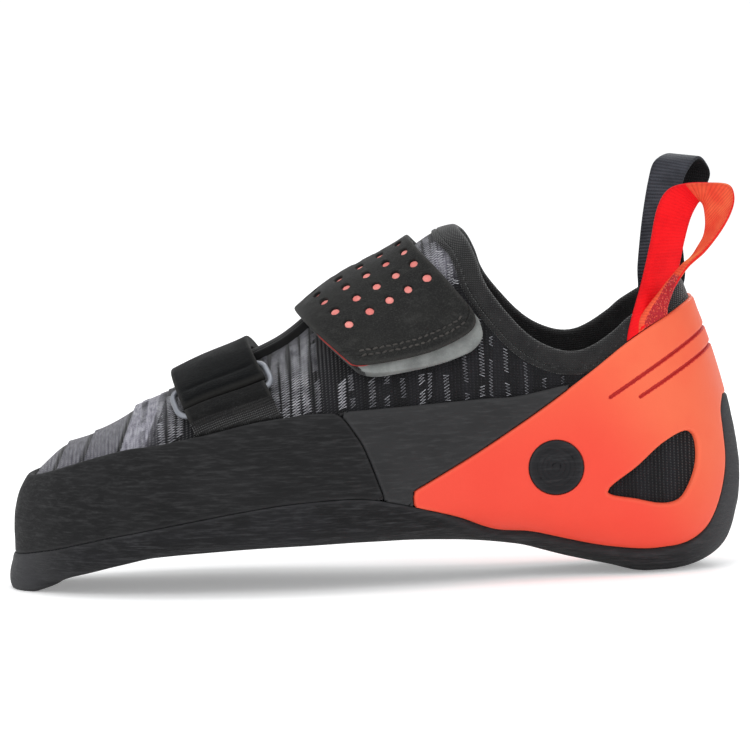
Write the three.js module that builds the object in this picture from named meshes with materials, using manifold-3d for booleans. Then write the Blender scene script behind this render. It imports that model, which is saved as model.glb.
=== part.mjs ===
// A climbing shoe for the left foot: knitted slipper upper, rubber rands, a sole that wraps up the heel,
// two straps, a wire ring and two pull loops. Millimetres, +Z up, the toe towards -X, the outer side
// of the foot towards -Y, the sole standing on z = 0.
import * as THREE from 'three';
import { mergeVertices } from 'three/addons/utils/BufferGeometryUtils.js';
import Module from 'manifold-3d';

const wasm = await Module();
wasm.setup();

// Driving dimensions of the shoe
const LENGTH = 250; // outside, toe to heel
const BALL_WIDTH = 90; // outside, across the rand
const HEEL_WIDTH = 64; // outside, across the heel rand
const INSTEP_HEIGHT = 120; // floor to the front of the collar
const HEEL_HEIGHT = 100; // floor to the back of the collar

// Walls and clearances
const UPPER_WALL = 2; // knit and its lining
const RAND_WALL = 2;
const SOLE_WALL = 4.5; // under the foot
const SOLE_SIDE = 2.3; // where the sole wraps up the sides and the heel
const SOLE_TOE = 4.8; // at the foot of the toe's front
const INSOLE_WALL = 1.8;
const GAP = 0.3; // between pieces that are glued or sewn together
const STRAP_GAP = 0.8; // under the pieces that only lie on the upper

// Upper and rand details
const BINDING_WIDTH = 8;
const BINDING_STEP = 0.8; // how far the collar binding stands proud of the knit, outside and inside
const COLLAR_TILT = 0.06; // the collar rises towards the inner ankle by this much per millimetre
const TOE_FLARE = 15; // height up to which the sole flares forward at the toe
const FLOOR_MARGIN = 12; // the upper turns in under the foot by this much
const BED_MARGIN = 7; // from the last's edge to the insole's
const GROOVE_WIDTH = 1.6;
const GROOVE_DEPTH = 1;
const DOT_RADIUS = 9.5; // plain grip dot let into the heel rand
const DOT_DEPTH = 1.2;

// Straps, ring and loops
const STRAP_WALL = 2;
const FRONT_STRAP_WALL = 4.2; // leather folded double
const WEBBING_WALL = 2.6;
const WEBBING_WIDTH = 9;
const KEEPER_WALL = 1.8;
const KEEPER_FOLD = 4.6; // where the keeper folds round the ring
const WIRE = 2;
const TAPE_WALL = 1.3;

// Fineness of the faceted solids
const TOE_RIBS = 10;
const SIDE_RIBS = 10;
const HEEL_RIBS = 10;
const RIB_POINTS = 12;

// Heights are shares of a local height, which goes over from the instep's to the heel's behind the ankle,
// and widths are shares of a local width, which does the same.
const ease = (t) => {
  const c = Math.min(1, Math.max(0, t));
  return c * c * (3 - 2 * c);
};
const mix = (a, b, t) => a + (b - a) * t;
const REAR_START = 0.6;
const REAR_BLEND = 0.2;
const rearShare = (u) => ease((u - REAR_START) / REAR_BLEND);
const localHeight = (u) => mix(INSTEP_HEIGHT, HEEL_HEIGHT, rearShare(u));
const localWidth = (u) => mix(BALL_WIDTH, HEEL_WIDTH, rearShare(u));
const alongX = (u) => (u - 0.5) * LENGTH;
const shareOf = (x) => x / LENGTH + 0.5;

// A smooth curve through a table's rows [along, value], with no overshoot
function curve(rows) {
  const slope = rows.slice(1).map((r, i) => (r[1] - rows[i][1]) / (r[0] - rows[i][0]));
  const tangent = rows.map((r, i) => {
    if (i === 0) return slope[0];
    if (i === rows.length - 1) return slope[i - 1];
    const [a, b] = [slope[i - 1], slope[i]];
    return a * b <= 0 ? 0 : (2 * a * b) / (a + b);
  });
  return (u) => {
    if (u <= rows[0][0]) return rows[0][1];
    if (u >= rows[rows.length - 1][0]) return rows[rows.length - 1][1];
    const i = rows.findIndex((r) => r[0] > u) - 1;
    const h = rows[i + 1][0] - rows[i][0];
    const t = (u - rows[i][0]) / h;
    return (
      (1 + 2 * t) * (1 - t) ** 2 * rows[i][1] +
      t * (1 - t) ** 2 * h * tangent[i] +
      t * t * (3 - 2 * t) * rows[i + 1][1] +
      t * t * (t - 1) * h * tangent[i + 1]
    );
  };
}

// Catmull-Rom points through a list of points, open or closed
function smooth(points, closed, steps) {
  const n = points.length;
  const at = (i) => (closed ? points[(i + n) % n] : points[Math.min(n - 1, Math.max(0, i))]);
  const out = [];
  for (let i = 0; i < (closed ? n : n - 1); i++) {
    for (let s = 0; s < steps; s++) {
      const t = s / steps;
      out.push(
        at(i).map((p1, axis) => {
          const [p0, p2, p3] = [at(i - 1)[axis], at(i + 1)[axis], at(i + 2)[axis]];
          return (
            p1 +
            0.5 * t * (p2 - p0 + t * (2 * p0 - 5 * p1 + 4 * p2 - p3 + t * (3 * (p1 - p2) + p3 - p0)))
          );
        })
      );
    }
  }
  if (!closed) out.push(points[n - 1]);
  return out;
}

// Points moved sideways, to the right of their direction of travel, so that each edge moves by the distance
function shifted(points, distance, closed = false) {
  const n = points.length;
  const sideways = (a, b) => {
    const [dx, dz] = [b[0] - a[0], b[1] - a[1]];
    const length = Math.hypot(dx, dz);
    return [dz / length, -dx / length];
  };
  return points.map((p, i) => {
    const hasBefore = closed || i > 0;
    const hasAfter = closed || i < n - 1;
    const after = hasAfter ? sideways(p, points[(i + 1) % n]) : sideways(points[i - 1], p);
    const before = hasBefore ? sideways(points[(i + n - 1) % n], p) : after;
    const scale = distance / Math.max(0.3, 1 + before[0] * after[0] + before[1] * after[1]);
    return [p[0] + (before[0] + after[0]) * scale, p[1] + (before[1] + after[1]) * scale];
  });
}

// The last, seen from above: [along, side] of the shoe's edge, round from the toe by the outer side
const PLAN = [
  [0, 0.155], [0.007, 0.022], [0.032, -0.111], [0.08, -0.261], [0.168, -0.4], [0.272, -0.478],
  [0.388, -0.511], [0.504, -0.478], [0.624, -0.416], [0.744, -0.478], [0.844, -0.5], [0.924, -0.405],
  [0.976, -0.22], [1, 0], [0.976, 0.22], [0.924, 0.4], [0.844, 0.49], [0.744, 0.442],
  [0.624, 0.32], [0.504, 0.356], [0.388, 0.428], [0.296, 0.476], [0.192, 0.467], [0.1, 0.422],
  [0.036, 0.344], [0.007, 0.267],
];
// Down the length: [along, height or exponent or side]
const RIDGE = curve([
  [0.018, 0.34], [0.048, 0.365], [0.08, 0.408], [0.12, 0.439], [0.152, 0.472], [0.2, 0.53],
  [0.228, 0.555], [0.28, 0.596], [0.34, 0.633], [0.38, 0.669], [0.404, 0.7], [0.48, 0.828],
  [0.56, 0.935], [0.596, 0.983], [0.62, 1.002], [0.66, 1.032], [0.8, 1.16], [1, 1.14],
]);
const SOLE = curve([
  [0, -0.035], [0.02, -0.03], [0.036, -0.016], [0.055, 0.018], [0.092, 0.05], [0.128, 0.068],
  [0.164, 0.086], [0.2, 0.1], [0.268, 0.109], [0.404, 0.117], [0.532, 0.118], [0.604, 0.111],
  [0.692, 0.096], [0.772, 0.049], [0.822, 0.02], [0.868, -0.009], [0.904, -0.012], [1, -0.012],
]);
const BELLY = curve([
  [0, 0.125], [0.096, 0.158], [0.18, 0.192], [0.28, 0.225], [0.4, 0.242], [0.54, 0.258],
  [0.66, 0.277], [0.78, 0.338], [1, 0.34],
]);
const RIDGE_SIDE = curve([[0.1, 0.09], [0.2, 0.075], [0.3, 0.06], [0.5, 0.04], [0.7, 0.015], [0.87, 0]]);
const CROWN = curve([[0.1, 2.6], [0.25, 2.2], [0.45, 1.9], [0.6, 2.1], [0.75, 2.7], [0.87, 3]]);
const EDGE = curve([[0.1, 5.5], [0.25, 4], [0.4, 3.4], [0.65, 3], [0.87, 2.7]]);
const TOE_CROWN = 3.2; // exponent of the toe's front
const TOE_EDGE = 8; // exponent of the toe's front below its widest
const HEEL_CROWN = 1.45; // exponent of the heel's back, which leans in to the collar
const TOE_ANCHOR = 0.1;
const HEEL_ANCHOR = 0.872;

const SIDE_BUILD = UPPER_WALL + GAP + RAND_WALL;
const FLOOR_BUILD = UPPER_WALL + GAP + SOLE_WALL;
const topOf = (u) => RIDGE(u) * localHeight(u) - UPPER_WALL * 1.15;
const bellyOf = (u) => BELLY(u) * localHeight(u);
const floorOf = (u) => SOLE(u) * localHeight(u) + FLOOR_BUILD;
const ridgeSideOf = (u) => RIDGE_SIDE(u) * localWidth(u);

const planEdge = smooth(PLAN.map(([u, w]) => [alongX(u), w * localWidth(u)]), true, 12);
const planInset = (distance) =>
  shifted(planEdge, -distance, true).filter(([x, y]) =>
    planEdge.every(([px, py]) => Math.hypot(px - x, py - y) > distance - 0.05)
  );

// The points of an outline that are at least a distance apart
function thinned(points, distance) {
  const kept = [];
  for (const p of points) {
    const near = (q) => Math.hypot(p[0] - q[0], p[1] - q[1]) < distance;
    if (!kept.length || !(near(kept.at(-1)) || near(kept[0]))) kept.push(p);
  }
  return kept;
}
const lastEdge = planInset(SIDE_BUILD);

// Distance from an anchor to the last's edge in a direction
function reach(ax, ay, dx, dy) {
  let far = 0;
  lastEdge.forEach(([px, py], i) => {
    const [qx, qy] = lastEdge[(i + 1) % lastEdge.length];
    const [ex, ey] = [qx - px, qy - py];
    const det = ex * dy - ey * dx;
    if (Math.abs(det) < 1e-9) return;
    const t = (ex * (py - ay) - ey * (px - ax)) / det;
    const s = (dx * (py - ay) - dy * (px - ax)) / det;
    if (s >= 0 && s <= 1 && t > far) far = t;
  });
  return far;
}

// A rib is half a section: it stands on an anchor on the ridge's line and faces a direction.
function makeRib(u, angle) {
  const [ax, ay] = [alongX(u), ridgeSideOf(u)];
  const [dx, dy] = [Math.cos(angle), Math.sin(angle)];
  const crown = mix(CROWN(u), dx < 0 ? TOE_CROWN : HEEL_CROWN, dx * dx);
  const edge = mix(EDGE(u), dx < 0 ? TOE_EDGE : EDGE(u), dx * dx);
  return { ax, ay, dx, dy, reach: reach(ax, ay, dx, dy), crown, edge };
}

// Point of a rib: v is 0 under the foot, 0.5 at the widest and 1 on the ridge
function ribPoint(rib, v) {
  const turn = (v - 0.5) * Math.PI;
  const power = 2 / (turn < 0 ? rib.edge : rib.crown);
  const out = Math.max(0, Math.cos(turn)) ** power * rib.reach;
  const rise = Math.abs(Math.sin(turn)) ** power;
  const x = rib.ax + rib.dx * out;
  const u = shareOf(x);
  const z = mix(bellyOf(u), turn < 0 ? floorOf(u) : topOf(u), rise);
  return [x, rib.ay + rib.dy * out, z];
}

// The rib's points, closer together where it bends
const BEND_WEIGHT = 12;
const FINE = 240;
function ribLine(rib, count) {
  const fine = Array.from({ length: FINE + 1 }, (_, i) => ribPoint(rib, i / FINE));
  const measure = [0];
  let heading = null;
  for (let i = 1; i <= FINE; i++) {
    const step = fine[i].map((c, axis) => c - fine[i - 1][axis]);
    const length = Math.hypot(...step);
    const now = Math.atan2(step[2], Math.hypot(step[0], step[1]) * Math.sign(0.5 - (i - 0.5) / FINE));
    measure.push(measure[i - 1] + length + (heading === null ? 0 : BEND_WEIGHT * Math.abs(now - heading)));
    heading = now;
  }
  const line = [];
  let at = 0;
  for (let j = 0; j <= count; j++) {
    const goal = (measure[FINE] * j) / count;
    while (at < FINE - 1 && measure[at + 1] < goal) at++;
    const t = (goal - measure[at]) / (measure[at + 1] - measure[at]);
    line.push(fine[at].map((c, axis) => mix(c, fine[at + 1][axis], Math.min(1, t))));
  }
  return line;
}

// All ribs, round from the toe by the outer side
const ribs = [];
const sideStep = (HEEL_ANCHOR - TOE_ANCHOR) / SIDE_RIBS;
for (let i = 0; i < TOE_RIBS / 2; i++) ribs.push(makeRib(TOE_ANCHOR, -Math.PI + (Math.PI * i) / TOE_RIBS));
for (let i = 0; i < SIDE_RIBS; i++) ribs.push(makeRib(TOE_ANCHOR + sideStep * i, -Math.PI / 2));
for (let i = 0; i < HEEL_RIBS; i++) ribs.push(makeRib(HEEL_ANCHOR, -Math.PI / 2 + (Math.PI * i) / HEEL_RIBS));
for (let i = 0; i < SIDE_RIBS; i++) ribs.push(makeRib(HEEL_ANCHOR - sideStep * i, Math.PI / 2));
for (let i = 0; i < TOE_RIBS / 2; i++) ribs.push(makeRib(TOE_ANCHOR, Math.PI / 2 + (Math.PI * i) / TOE_RIBS));

// A geometry's faces as a solid
function solidOf(geometry) {
  geometry.deleteAttribute('normal');
  geometry.deleteAttribute('uv');
  const merged = mergeVertices(geometry, 1e-3);
  return new wasm.Manifold(
    new wasm.Mesh({
      numProp: 3,
      vertProperties: new Float32Array(merged.attributes.position.array),
      triVerts: new Uint32Array(merged.index.array),
    })
  );
}

function geometryOf(points, triangles) {
  const geometry = new THREE.BufferGeometry();
  geometry.setAttribute('position', new THREE.Float32BufferAttribute(points.flat(), 3));
  geometry.setIndex(triangles.flat());
  return geometry;
}

// A closed body whichever way its triangles were wound
function facingOut(points, triangles) {
  const made = solidOf(geometryOf(points, triangles));
  if (made.volume() > 0) return made;
  return solidOf(geometryOf(points, triangles.map(([a, b, c]) => [a, c, b])));
}

// The closed last: its points, outward normals and triangles
const last = (() => {
  const points = [];
  const known = new Map();
  const lines = ribs.map((rib) =>
    ribLine(rib, RIB_POINTS).map((p) => {
      const key = p.map((c) => Math.round(c * 1e3)).join();
      if (!known.has(key)) {
        known.set(key, points.length);
        points.push(p);
      }
      return known.get(key);
    })
  );
  const triangles = [];
  lines.forEach((line, k) => {
    const next = lines[(k + 1) % lines.length];
    for (let j = 0; j < RIB_POINTS; j++) {
      triangles.push([line[j], next[j], next[j + 1]], [line[j], next[j + 1], line[j + 1]]);
    }
  });
  const faces = triangles.filter(([a, b, c]) => a !== b && b !== c && c !== a);
  const normals = points.map(() => new THREE.Vector3());
  for (const face of faces) {
    const [a, b, c] = face.map((i) => new THREE.Vector3(...points[i]));
    const normal = b.sub(a).cross(c.sub(a));
    face.forEach((i) => normals[i].add(normal));
  }
  normals.forEach((n) => n.normalize());
  return { points, faces, normals };
})();

// The last grown outwards by a distance, or by a function of a point and its normal
function form(growth) {
  const points = last.points.map((p, i) => {
    const n = last.normals[i];
    const d = typeof growth === 'function' ? growth(p, n) : growth;
    return [p[0] + n.x * d, p[1] + n.y * d, p[2] + n.z * d];
  });
  return solidOf(geometryOf(points, last.faces));
}

// A side-view outline of [x, z] points, extruded right across the shoe, rising by tilt along Y
const FAR = 100;
function sidePrism(outline, tilt = 0) {
  const shape = new THREE.Shape(outline.map(([x, z]) => new THREE.Vector2(x, z)));
  const block = new THREE.ExtrudeGeometry(shape, { depth: 2 * FAR, bevelEnabled: false });
  const lean = new THREE.Matrix4().set(1, 0, 0, 0, 0, 1, 0, 0, 0, tilt, 1, 0, 0, 0, 0, 1);
  return solidOf(block.rotateX(Math.PI / 2).translate(0, FAR, 0).applyMatrix4(lean));
}

// A box between two corners
function boxSolid(low, high) {
  const size = low.map((c, axis) => high[axis] - c);
  const centre = low.map((c, axis) => (high[axis] + c) / 2);
  return solidOf(new THREE.BoxGeometry(...size).translate(...centre));
}

// A plan-view outline of [x, y] points, extruded upwards from z to z
function planPrism(outline, from, to) {
  const shape = new THREE.Shape(outline.map(([x, y]) => new THREE.Vector2(x, y)));
  return solidOf(new THREE.ExtrudeGeometry(shape, { depth: to - from, bevelEnabled: false }).translate(0, 0, from));
}

const PLAN_STEP = 8; // between the points of an outline seen from above

// Side-view lines of the panels: rows of [along, height], from the toe to the heel
const sideLine = (rows, steps = 2) => smooth(rows.map(([u, h]) => [alongX(u), h * localHeight(u)]), false, steps);
const BELOW = -30;
const BEHIND = LENGTH;
const AHEAD = -LENGTH;

const SOLE_EDGE = sideLine([
  [-0.02, 0.09], [0.072, 0.136], [0.144, 0.172], [0.26, 0.218], [0.34, 0.246], [0.4, 0.26],
  [0.476, 0.264], [0.526, 0.247], [0.564, 0.224], [0.612, 0.192], [0.66, 0.152], [0.708, 0.149],
  [0.756, 0.128], [0.804, 0.103], [0.854, 0.087], [0.888, 0.087], [0.922, 0.099], [0.949, 0.142],
  [0.966, 0.213], [0.977, 0.302], [0.981, 0.382], [0.979, 0.472], [0.977, 0.543], [0.981, 0.59],
]);
const TOE_RAND_TOP = sideLine([
  [-0.02, 0.31], [0.033, 0.335], [0.088, 0.373], [0.135, 0.402], [0.17, 0.42], [0.205, 0.43],
  [0.274, 0.457], [0.344, 0.488], [0.412, 0.506],
]);
const TOE_RAND_REAR = sideLine([[0.447, 0.507], [0.46, 0.493], [0.476, 0.448], [0.49, 0.396], [0.512, 0.269]]);
const PANEL_TOP = sideLine([[0.42, 0.507], [0.481, 0.511], [0.538, 0.516], [0.65, 0.54], [0.698, 0.575], [0.77, 0.66]]);
const HEEL_RAND_TOP = sideLine([
  [0.552, 0.276], [0.628, 0.364], [0.684, 0.459], [0.74, 0.58], [0.796, 0.704], [0.854, 0.809],
  [0.918, 0.9], [0.96, 0.955],
]);
const TEARDROP = smooth(
  [
    [0.814, 0.298], [0.857, 0.381], [0.89, 0.449], [0.921, 0.487], [0.936, 0.474], [0.941, 0.422],
    [0.938, 0.357], [0.925, 0.287], [0.911, 0.252], [0.888, 0.246], [0.855, 0.266],
  ].map(([u, h]) => [alongX(u), h * localHeight(u)]),
  true,
  2
);
const GROOVES = [
  [[0.822, 0.617], [0.985, 0.87]],
  [[0.863, 0.614], [0.985, 0.795]],
];
const DOT = [0.746, 0.374];
const COLLAR = sideLine([
  [0.59, 1.08], [0.622, 1.006], [0.638, 0.982], [0.65, 0.94], [0.658, 0.893], [0.672, 0.856],
  [0.702, 0.806], [0.727, 0.783], [0.756, 0.778], [0.781, 0.788], [0.804, 0.812], [0.831, 0.855],
  [0.851, 0.896], [0.896, 0.964], [0.932, 1.012], [1, 1.075],
]);

// Regions of the side view, each grown by a clearance. Their outlines run from the toe's end to the heel's
// along the top and come back below the shoe.
const region = (outline) => (grow) => sidePrism(shifted(outline, -grow, true));
const soleBlock = region([
  ...SOLE_EDGE, [BEHIND, SOLE_EDGE.at(-1)[1]], [BEHIND, BELOW], [AHEAD, BELOW], [AHEAD, SOLE_EDGE[0][1]],
]);
const toeBlock = region([
  ...TOE_RAND_TOP, ...TOE_RAND_REAR, [TOE_RAND_REAR.at(-1)[0], BELOW], [AHEAD, BELOW], [AHEAD, TOE_RAND_TOP[0][1]],
]);
const heelBlock = region([
  ...HEEL_RAND_TOP, [BEHIND, HEEL_RAND_TOP.at(-1)[1]], [BEHIND, BELOW], [alongX(0.567), BELOW],
]);
const panelBlock = region([...PANEL_TOP, [PANEL_TOP.at(-1)[0], BELOW], [PANEL_TOP[0][0], BELOW]]);

// Everything above the collar's line, which rises towards the inner ankle
function collarBlock(lower) {
  const edge = shifted(COLLAR, lower);
  const sky = INSTEP_HEIGHT * 1.6;
  return sidePrism([...edge, [BEHIND, edge.at(-1)[1]], [BEHIND, sky], [edge[0][0], sky]], COLLAR_TILT);
}

const foot = form(0);
const knit = form(UPPER_WALL);
const randBed = form(UPPER_WALL + GAP);
const randSkin = form(SIDE_BUILD);
const randShell = randSkin.subtract(randBed).subtract(soleBlock(GAP));

const floorTop = Math.max(...ribs.map((rib) => floorOf(shareOf(rib.ax)))) + INSOLE_WALL + GAP;
const floorEdge = thinned(planInset(SIDE_BUILD + FLOOR_MARGIN), PLAN_STEP);
const floorHole = (shrink) => planPrism(shifted(floorEdge, -shrink, true), BELOW, floorTop);

const makeUpper = () =>
  knit.subtract(foot).subtract(collarBlock(BINDING_WIDTH + GAP)).subtract(floorHole(0));

function makeBinding() {
  const ring = form(UPPER_WALL + BINDING_STEP).subtract(form(-BINDING_STEP));
  const band = ring.subtract(collarBlock(0)).intersect(collarBlock(BINDING_WIDTH));
  const underHeelRand = heelBlock(GAP).subtract(knit);
  return band.subtract(underHeelRand);
}

function makeInsole() {
  const under = knit.intersect(floorHole(GAP));
  const bed = form(-GAP).intersect(planPrism(thinned(planInset(SIDE_BUILD + BED_MARGIN), PLAN_STEP), BELOW, floorTop));
  return under.add(bed).subtract(form(-INSOLE_WALL));
}

function makeOutsole() {
  const atToe = (p, n) => ease(-n.x * 1.4) * ease((0.2 - shareOf(p[0])) / 0.15) * ease((TOE_FLARE - p[2]) / TOE_FLARE);
  const sideWall = (p, n) => mix(SOLE_SIDE, SOLE_TOE, atToe(p, n));
  const soleGrowth = (p, n) =>
    UPPER_WALL + GAP + mix(sideWall(p, n), SOLE_WALL, ease((-n.z - 0.25) / 0.6));
  const slab = form(soleGrowth).subtract(randBed).intersect(soleBlock(0));
  return slab.intersect(boxSolid([AHEAD, -FAR, 0], [BEHIND, FAR, LENGTH]));
}

function makeHeelRand() {
  let rand = randShell.intersect(heelBlock(0)).subtract(sidePrism(TEARDROP));
  const floor = form(SIDE_BUILD - GROOVE_DEPTH);
  for (const [a, b] of GROOVES) {
    const line = [a, b].map(([u, h]) => [alongX(u), h * localHeight(u)]);
    const slot = [...shifted(line, GROOVE_WIDTH / 2), ...shifted(line, -GROOVE_WIDTH / 2).reverse()];
    rand = rand.subtract(sidePrism(slot).subtract(floor));
  }
  return rand.subtract(dotPost(DOT_RADIUS).subtract(form(SIDE_BUILD - DOT_DEPTH)));
}

const dotCentre = [alongX(DOT[0]), DOT[1] * localHeight(DOT[0])];
function dotPost(radius) {
  const post = new THREE.CylinderGeometry(radius, radius, FAR, 24);
  return solidOf(post.translate(dotCentre[0], -FAR / 2, dotCentre[1]));
}
const makeDot = () =>
  dotPost(DOT_RADIUS - GAP).intersect(form(SIDE_BUILD - 0.2)).subtract(form(SIDE_BUILD - DOT_DEPTH + GAP));

const makeToeRand = () => randShell.intersect(toeBlock(0));

function makePanel(side) {
  const panel = randShell.intersect(panelBlock(0)).subtract(toeBlock(GAP)).subtract(heelBlock(GAP));
  return panel.intersect(boxSolid([AHEAD, Math.min(0, side * FAR), BELOW], [BEHIND, Math.max(0, side * FAR), LENGTH]));
}

// Straps lie on the last along slanted lines. wrap() goes from the ridge down one side of the last, in the
// plane that holds Y and leans back by slant for each millimetre of fall, and gives the point at that
// distance from the ridge, outer side positive, with the last's normal there.
const WRAP_FINE = 90;
const WRAP_LOW = 0.5;
const lineCache = new Map();
function wrapLine(u, slant, side) {
  const key = [u, slant, side].join();
  if (lineCache.has(key)) return lineCache.get(key);
  const height = topOf(u);
  const start = alongX(u);
  const line = [];
  let x = start;
  for (let i = 0; i <= WRAP_FINE; i++) {
    const v = 1 - ((1 - WRAP_LOW) * i) / WRAP_FINE;
    let point;
    for (let turn = 0; turn < 14; turn++) {
      point = ribPoint(makeRib(shareOf(x), (-side * Math.PI) / 2), v);
      x = mix(x, start + slant * (height - point[2]), 0.7);
    }
    const length = line.length ? line.at(-1).length + Math.hypot(...point.map((c, a) => c - line.at(-1).point[a])) : 0;
    line.push({ point, length, v });
  }
  lineCache.set(key, line);
  return line;
}

function surface(x, v, side) {
  return new THREE.Vector3(...ribPoint(makeRib(shareOf(x), (-side * Math.PI) / 2), v));
}

const NUDGE = 0.4;
function wrap(u, slant, distance) {
  const side = distance < 0 ? -1 : 1;
  const line = wrapLine(u, slant, side);
  const goal = Math.abs(distance);
  let i = line.findIndex((entry) => entry.length >= goal);
  if (i < 0) i = line.length - 1;
  i = Math.max(1, i);
  const t = (goal - line[i - 1].length) / (line[i].length - line[i - 1].length);
  const point = line[i].point.map((c, axis) => mix(line[i - 1].point[axis], c, t));
  const v = Math.min(0.995, mix(line[i - 1].v, line[i].v, t));
  const along = surface(point[0] + NUDGE, v, side).sub(surface(point[0] - NUDGE, v, side));
  const up = surface(point[0], Math.min(1, v + 0.004), side).sub(surface(point[0], v - 0.004, side));
  const normal = along.cross(up).multiplyScalar(side).normalize();
  return { point: new THREE.Vector3(...point), normal };
}

// A strap is a grid wound on the last: columns go across the strap and rows along it. place gives a grid
// point on the last, and inner and outer give the heights of the strap's two faces above it.
function strapSolid({ columns, rows, place, inner, outer }) {
  const grid = (height) =>
    columns.map((a) =>
      rows.map((b) => {
        const { point, normal } = place(a, b);
        return point.clone().addScaledVector(normal, height(a, b)).toArray();
      })
    );
  const points = [...grid(inner).flat(), ...grid(outer).flat()];
  const [nc, nr] = [columns.length, rows.length];
  const at = (layer, c, r) => layer * nc * nr + c * nr + r;
  const triangles = [];
  const quad = (a, b, c, d) => triangles.push([a, b, c], [a, c, d]);
  for (let c = 0; c < nc - 1; c++) {
    for (let r = 0; r < nr - 1; r++) {
      quad(at(0, c, r), at(0, c, r + 1), at(0, c + 1, r + 1), at(0, c + 1, r));
      quad(at(1, c, r), at(1, c + 1, r), at(1, c + 1, r + 1), at(1, c, r + 1));
    }
  }
  for (let c = 0; c < nc - 1; c++) {
    quad(at(0, c, 0), at(0, c + 1, 0), at(1, c + 1, 0), at(1, c, 0));
    quad(at(0, c + 1, nr - 1), at(0, c, nr - 1), at(1, c, nr - 1), at(1, c + 1, nr - 1));
  }
  for (let r = 0; r < nr - 1; r++) {
    quad(at(0, 0, r + 1), at(0, 0, r), at(1, 0, r), at(1, 0, r + 1));
    quad(at(0, nc - 1, r), at(0, nc - 1, r + 1), at(1, nc - 1, r + 1), at(1, nc - 1, r));
  }
  return facingOut(points, triangles);
}

const steps = (from, to, count) => Array.from({ length: count + 1 }, (_, i) => mix(from, to, i / count));
const STRAP_BED = UPPER_WALL + STRAP_GAP;

// Main strap: a is the share across it from the front edge, b the distance from the ridge along it
const MAIN = { front: 0.424, rear: 0.572, slantFront: 1.1, slantRear: 0.82 };
const MAIN_OUTER_END = curve([
  [0, 41], [0.11, 43.8], [0.25, 46.2], [0.4, 47.8], [0.55, 48.5], [0.7, 48.4], [0.82, 48], [0.9, 47.2],
  [0.97, 45], [1, 42],
]);
const PAD_OUTER_END = curve([
  [0, 43], [0.07, 46.3], [0.2, 49.2], [0.38, 51.9], [0.58, 53.4], [0.74, 53.7], [0.84, 52.8], [0.93, 50.6],
  [1, 45.5],
]);
const MAIN_INNER_END = curve([[0, -44], [1, -62]]);
const mainPlace = (a, b) => wrap(mix(MAIN.front, MAIN.rear, a), mix(MAIN.slantFront, MAIN.slantRear, a), b);
const mainColumns = [0, 0.05, 0.15, 0.32, 0.52, 0.7, 0.85, 0.95, 1];
const padHeight = (a) => mix(5, 1.4, ease(a));

// Rows of the main strap, closer together over the ridge: 0 at the inner end, 1 at the leather's outer end,
// 2 at the pad's
const mainRows = steps(0, 1, 15).map((t) => t + 0.05 * Math.sin(2 * Math.PI * t));
const mainRow = (a, t) =>
  t <= 1 ? mix(MAIN_INNER_END(a), MAIN_OUTER_END(a), t) : mix(MAIN_OUTER_END(a), PAD_OUTER_END(a), t - 1);

function makeMainStrap() {
  const inner = (a) => STRAP_BED + padHeight(a) + GAP;
  return strapSolid({
    columns: mainColumns,
    rows: mainRows,
    place: (a, t) => mainPlace(a, mainRow(a, t)),
    inner,
    outer: (a) => inner(a) + STRAP_WALL,
  });
}

const makeStrapPad = () =>
  strapSolid({
    columns: mainColumns,
    rows: [...mainRows, 2],
    place: (a, t) => mainPlace(a, mainRow(a, t)),
    inner: () => STRAP_BED,
    outer: (a) => STRAP_BED + padHeight(a),
  });

// Front strap: leather folded double round the ring's upper bar, held up off the knit near the ridge
const FRONT = { front: 0.239, rear: 0.3475, slantFront: 0.5, slantRear: 0.62 };
const FRONT_OUTER_END = curve([[0, 30.8], [1, 28.2]]);
const FRONT_INNER_END = curve([[0, -36], [1, -45]]);
const FRONT_LIFT = { front: 1.7, rear: 3.8, low: 0.35 };
const frontPlace = (a, b) => wrap(mix(FRONT.front, FRONT.rear, a), mix(FRONT.slantFront, FRONT.slantRear, a), b);
function frontBed(a, b) {
  const across = mix(FRONT_LIFT.front, FRONT_LIFT.rear, Math.min(1, Math.max(0, a)));
  return STRAP_BED + across * ease((b + 32) / 26) * mix(1, FRONT_LIFT.low, ease((b - 8) / 20));
}

function makeFrontStrap() {
  const spread = (a, t) => mix(FRONT_INNER_END(a), FRONT_OUTER_END(a), t);
  const round = (t) => (t === 1 ? 0.22 : 0);
  const strap = strapSolid({
    columns: steps(0, 1, 5),
    rows: [...steps(0, 0.96, 13), 0.985, 1],
    place: (a, t) => frontPlace(a, spread(a, t)),
    inner: (a, t) => frontBed(a, spread(a, t)) + FRONT_STRAP_WALL * round(t),
    outer: (a, t) => frontBed(a, spread(a, t)) + FRONT_STRAP_WALL * (1 - round(t)),
  });
  return strap.subtract(toeBlock(GAP)).subtract(ringSolid(WIRE / 2 + GAP, 6));
}

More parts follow.
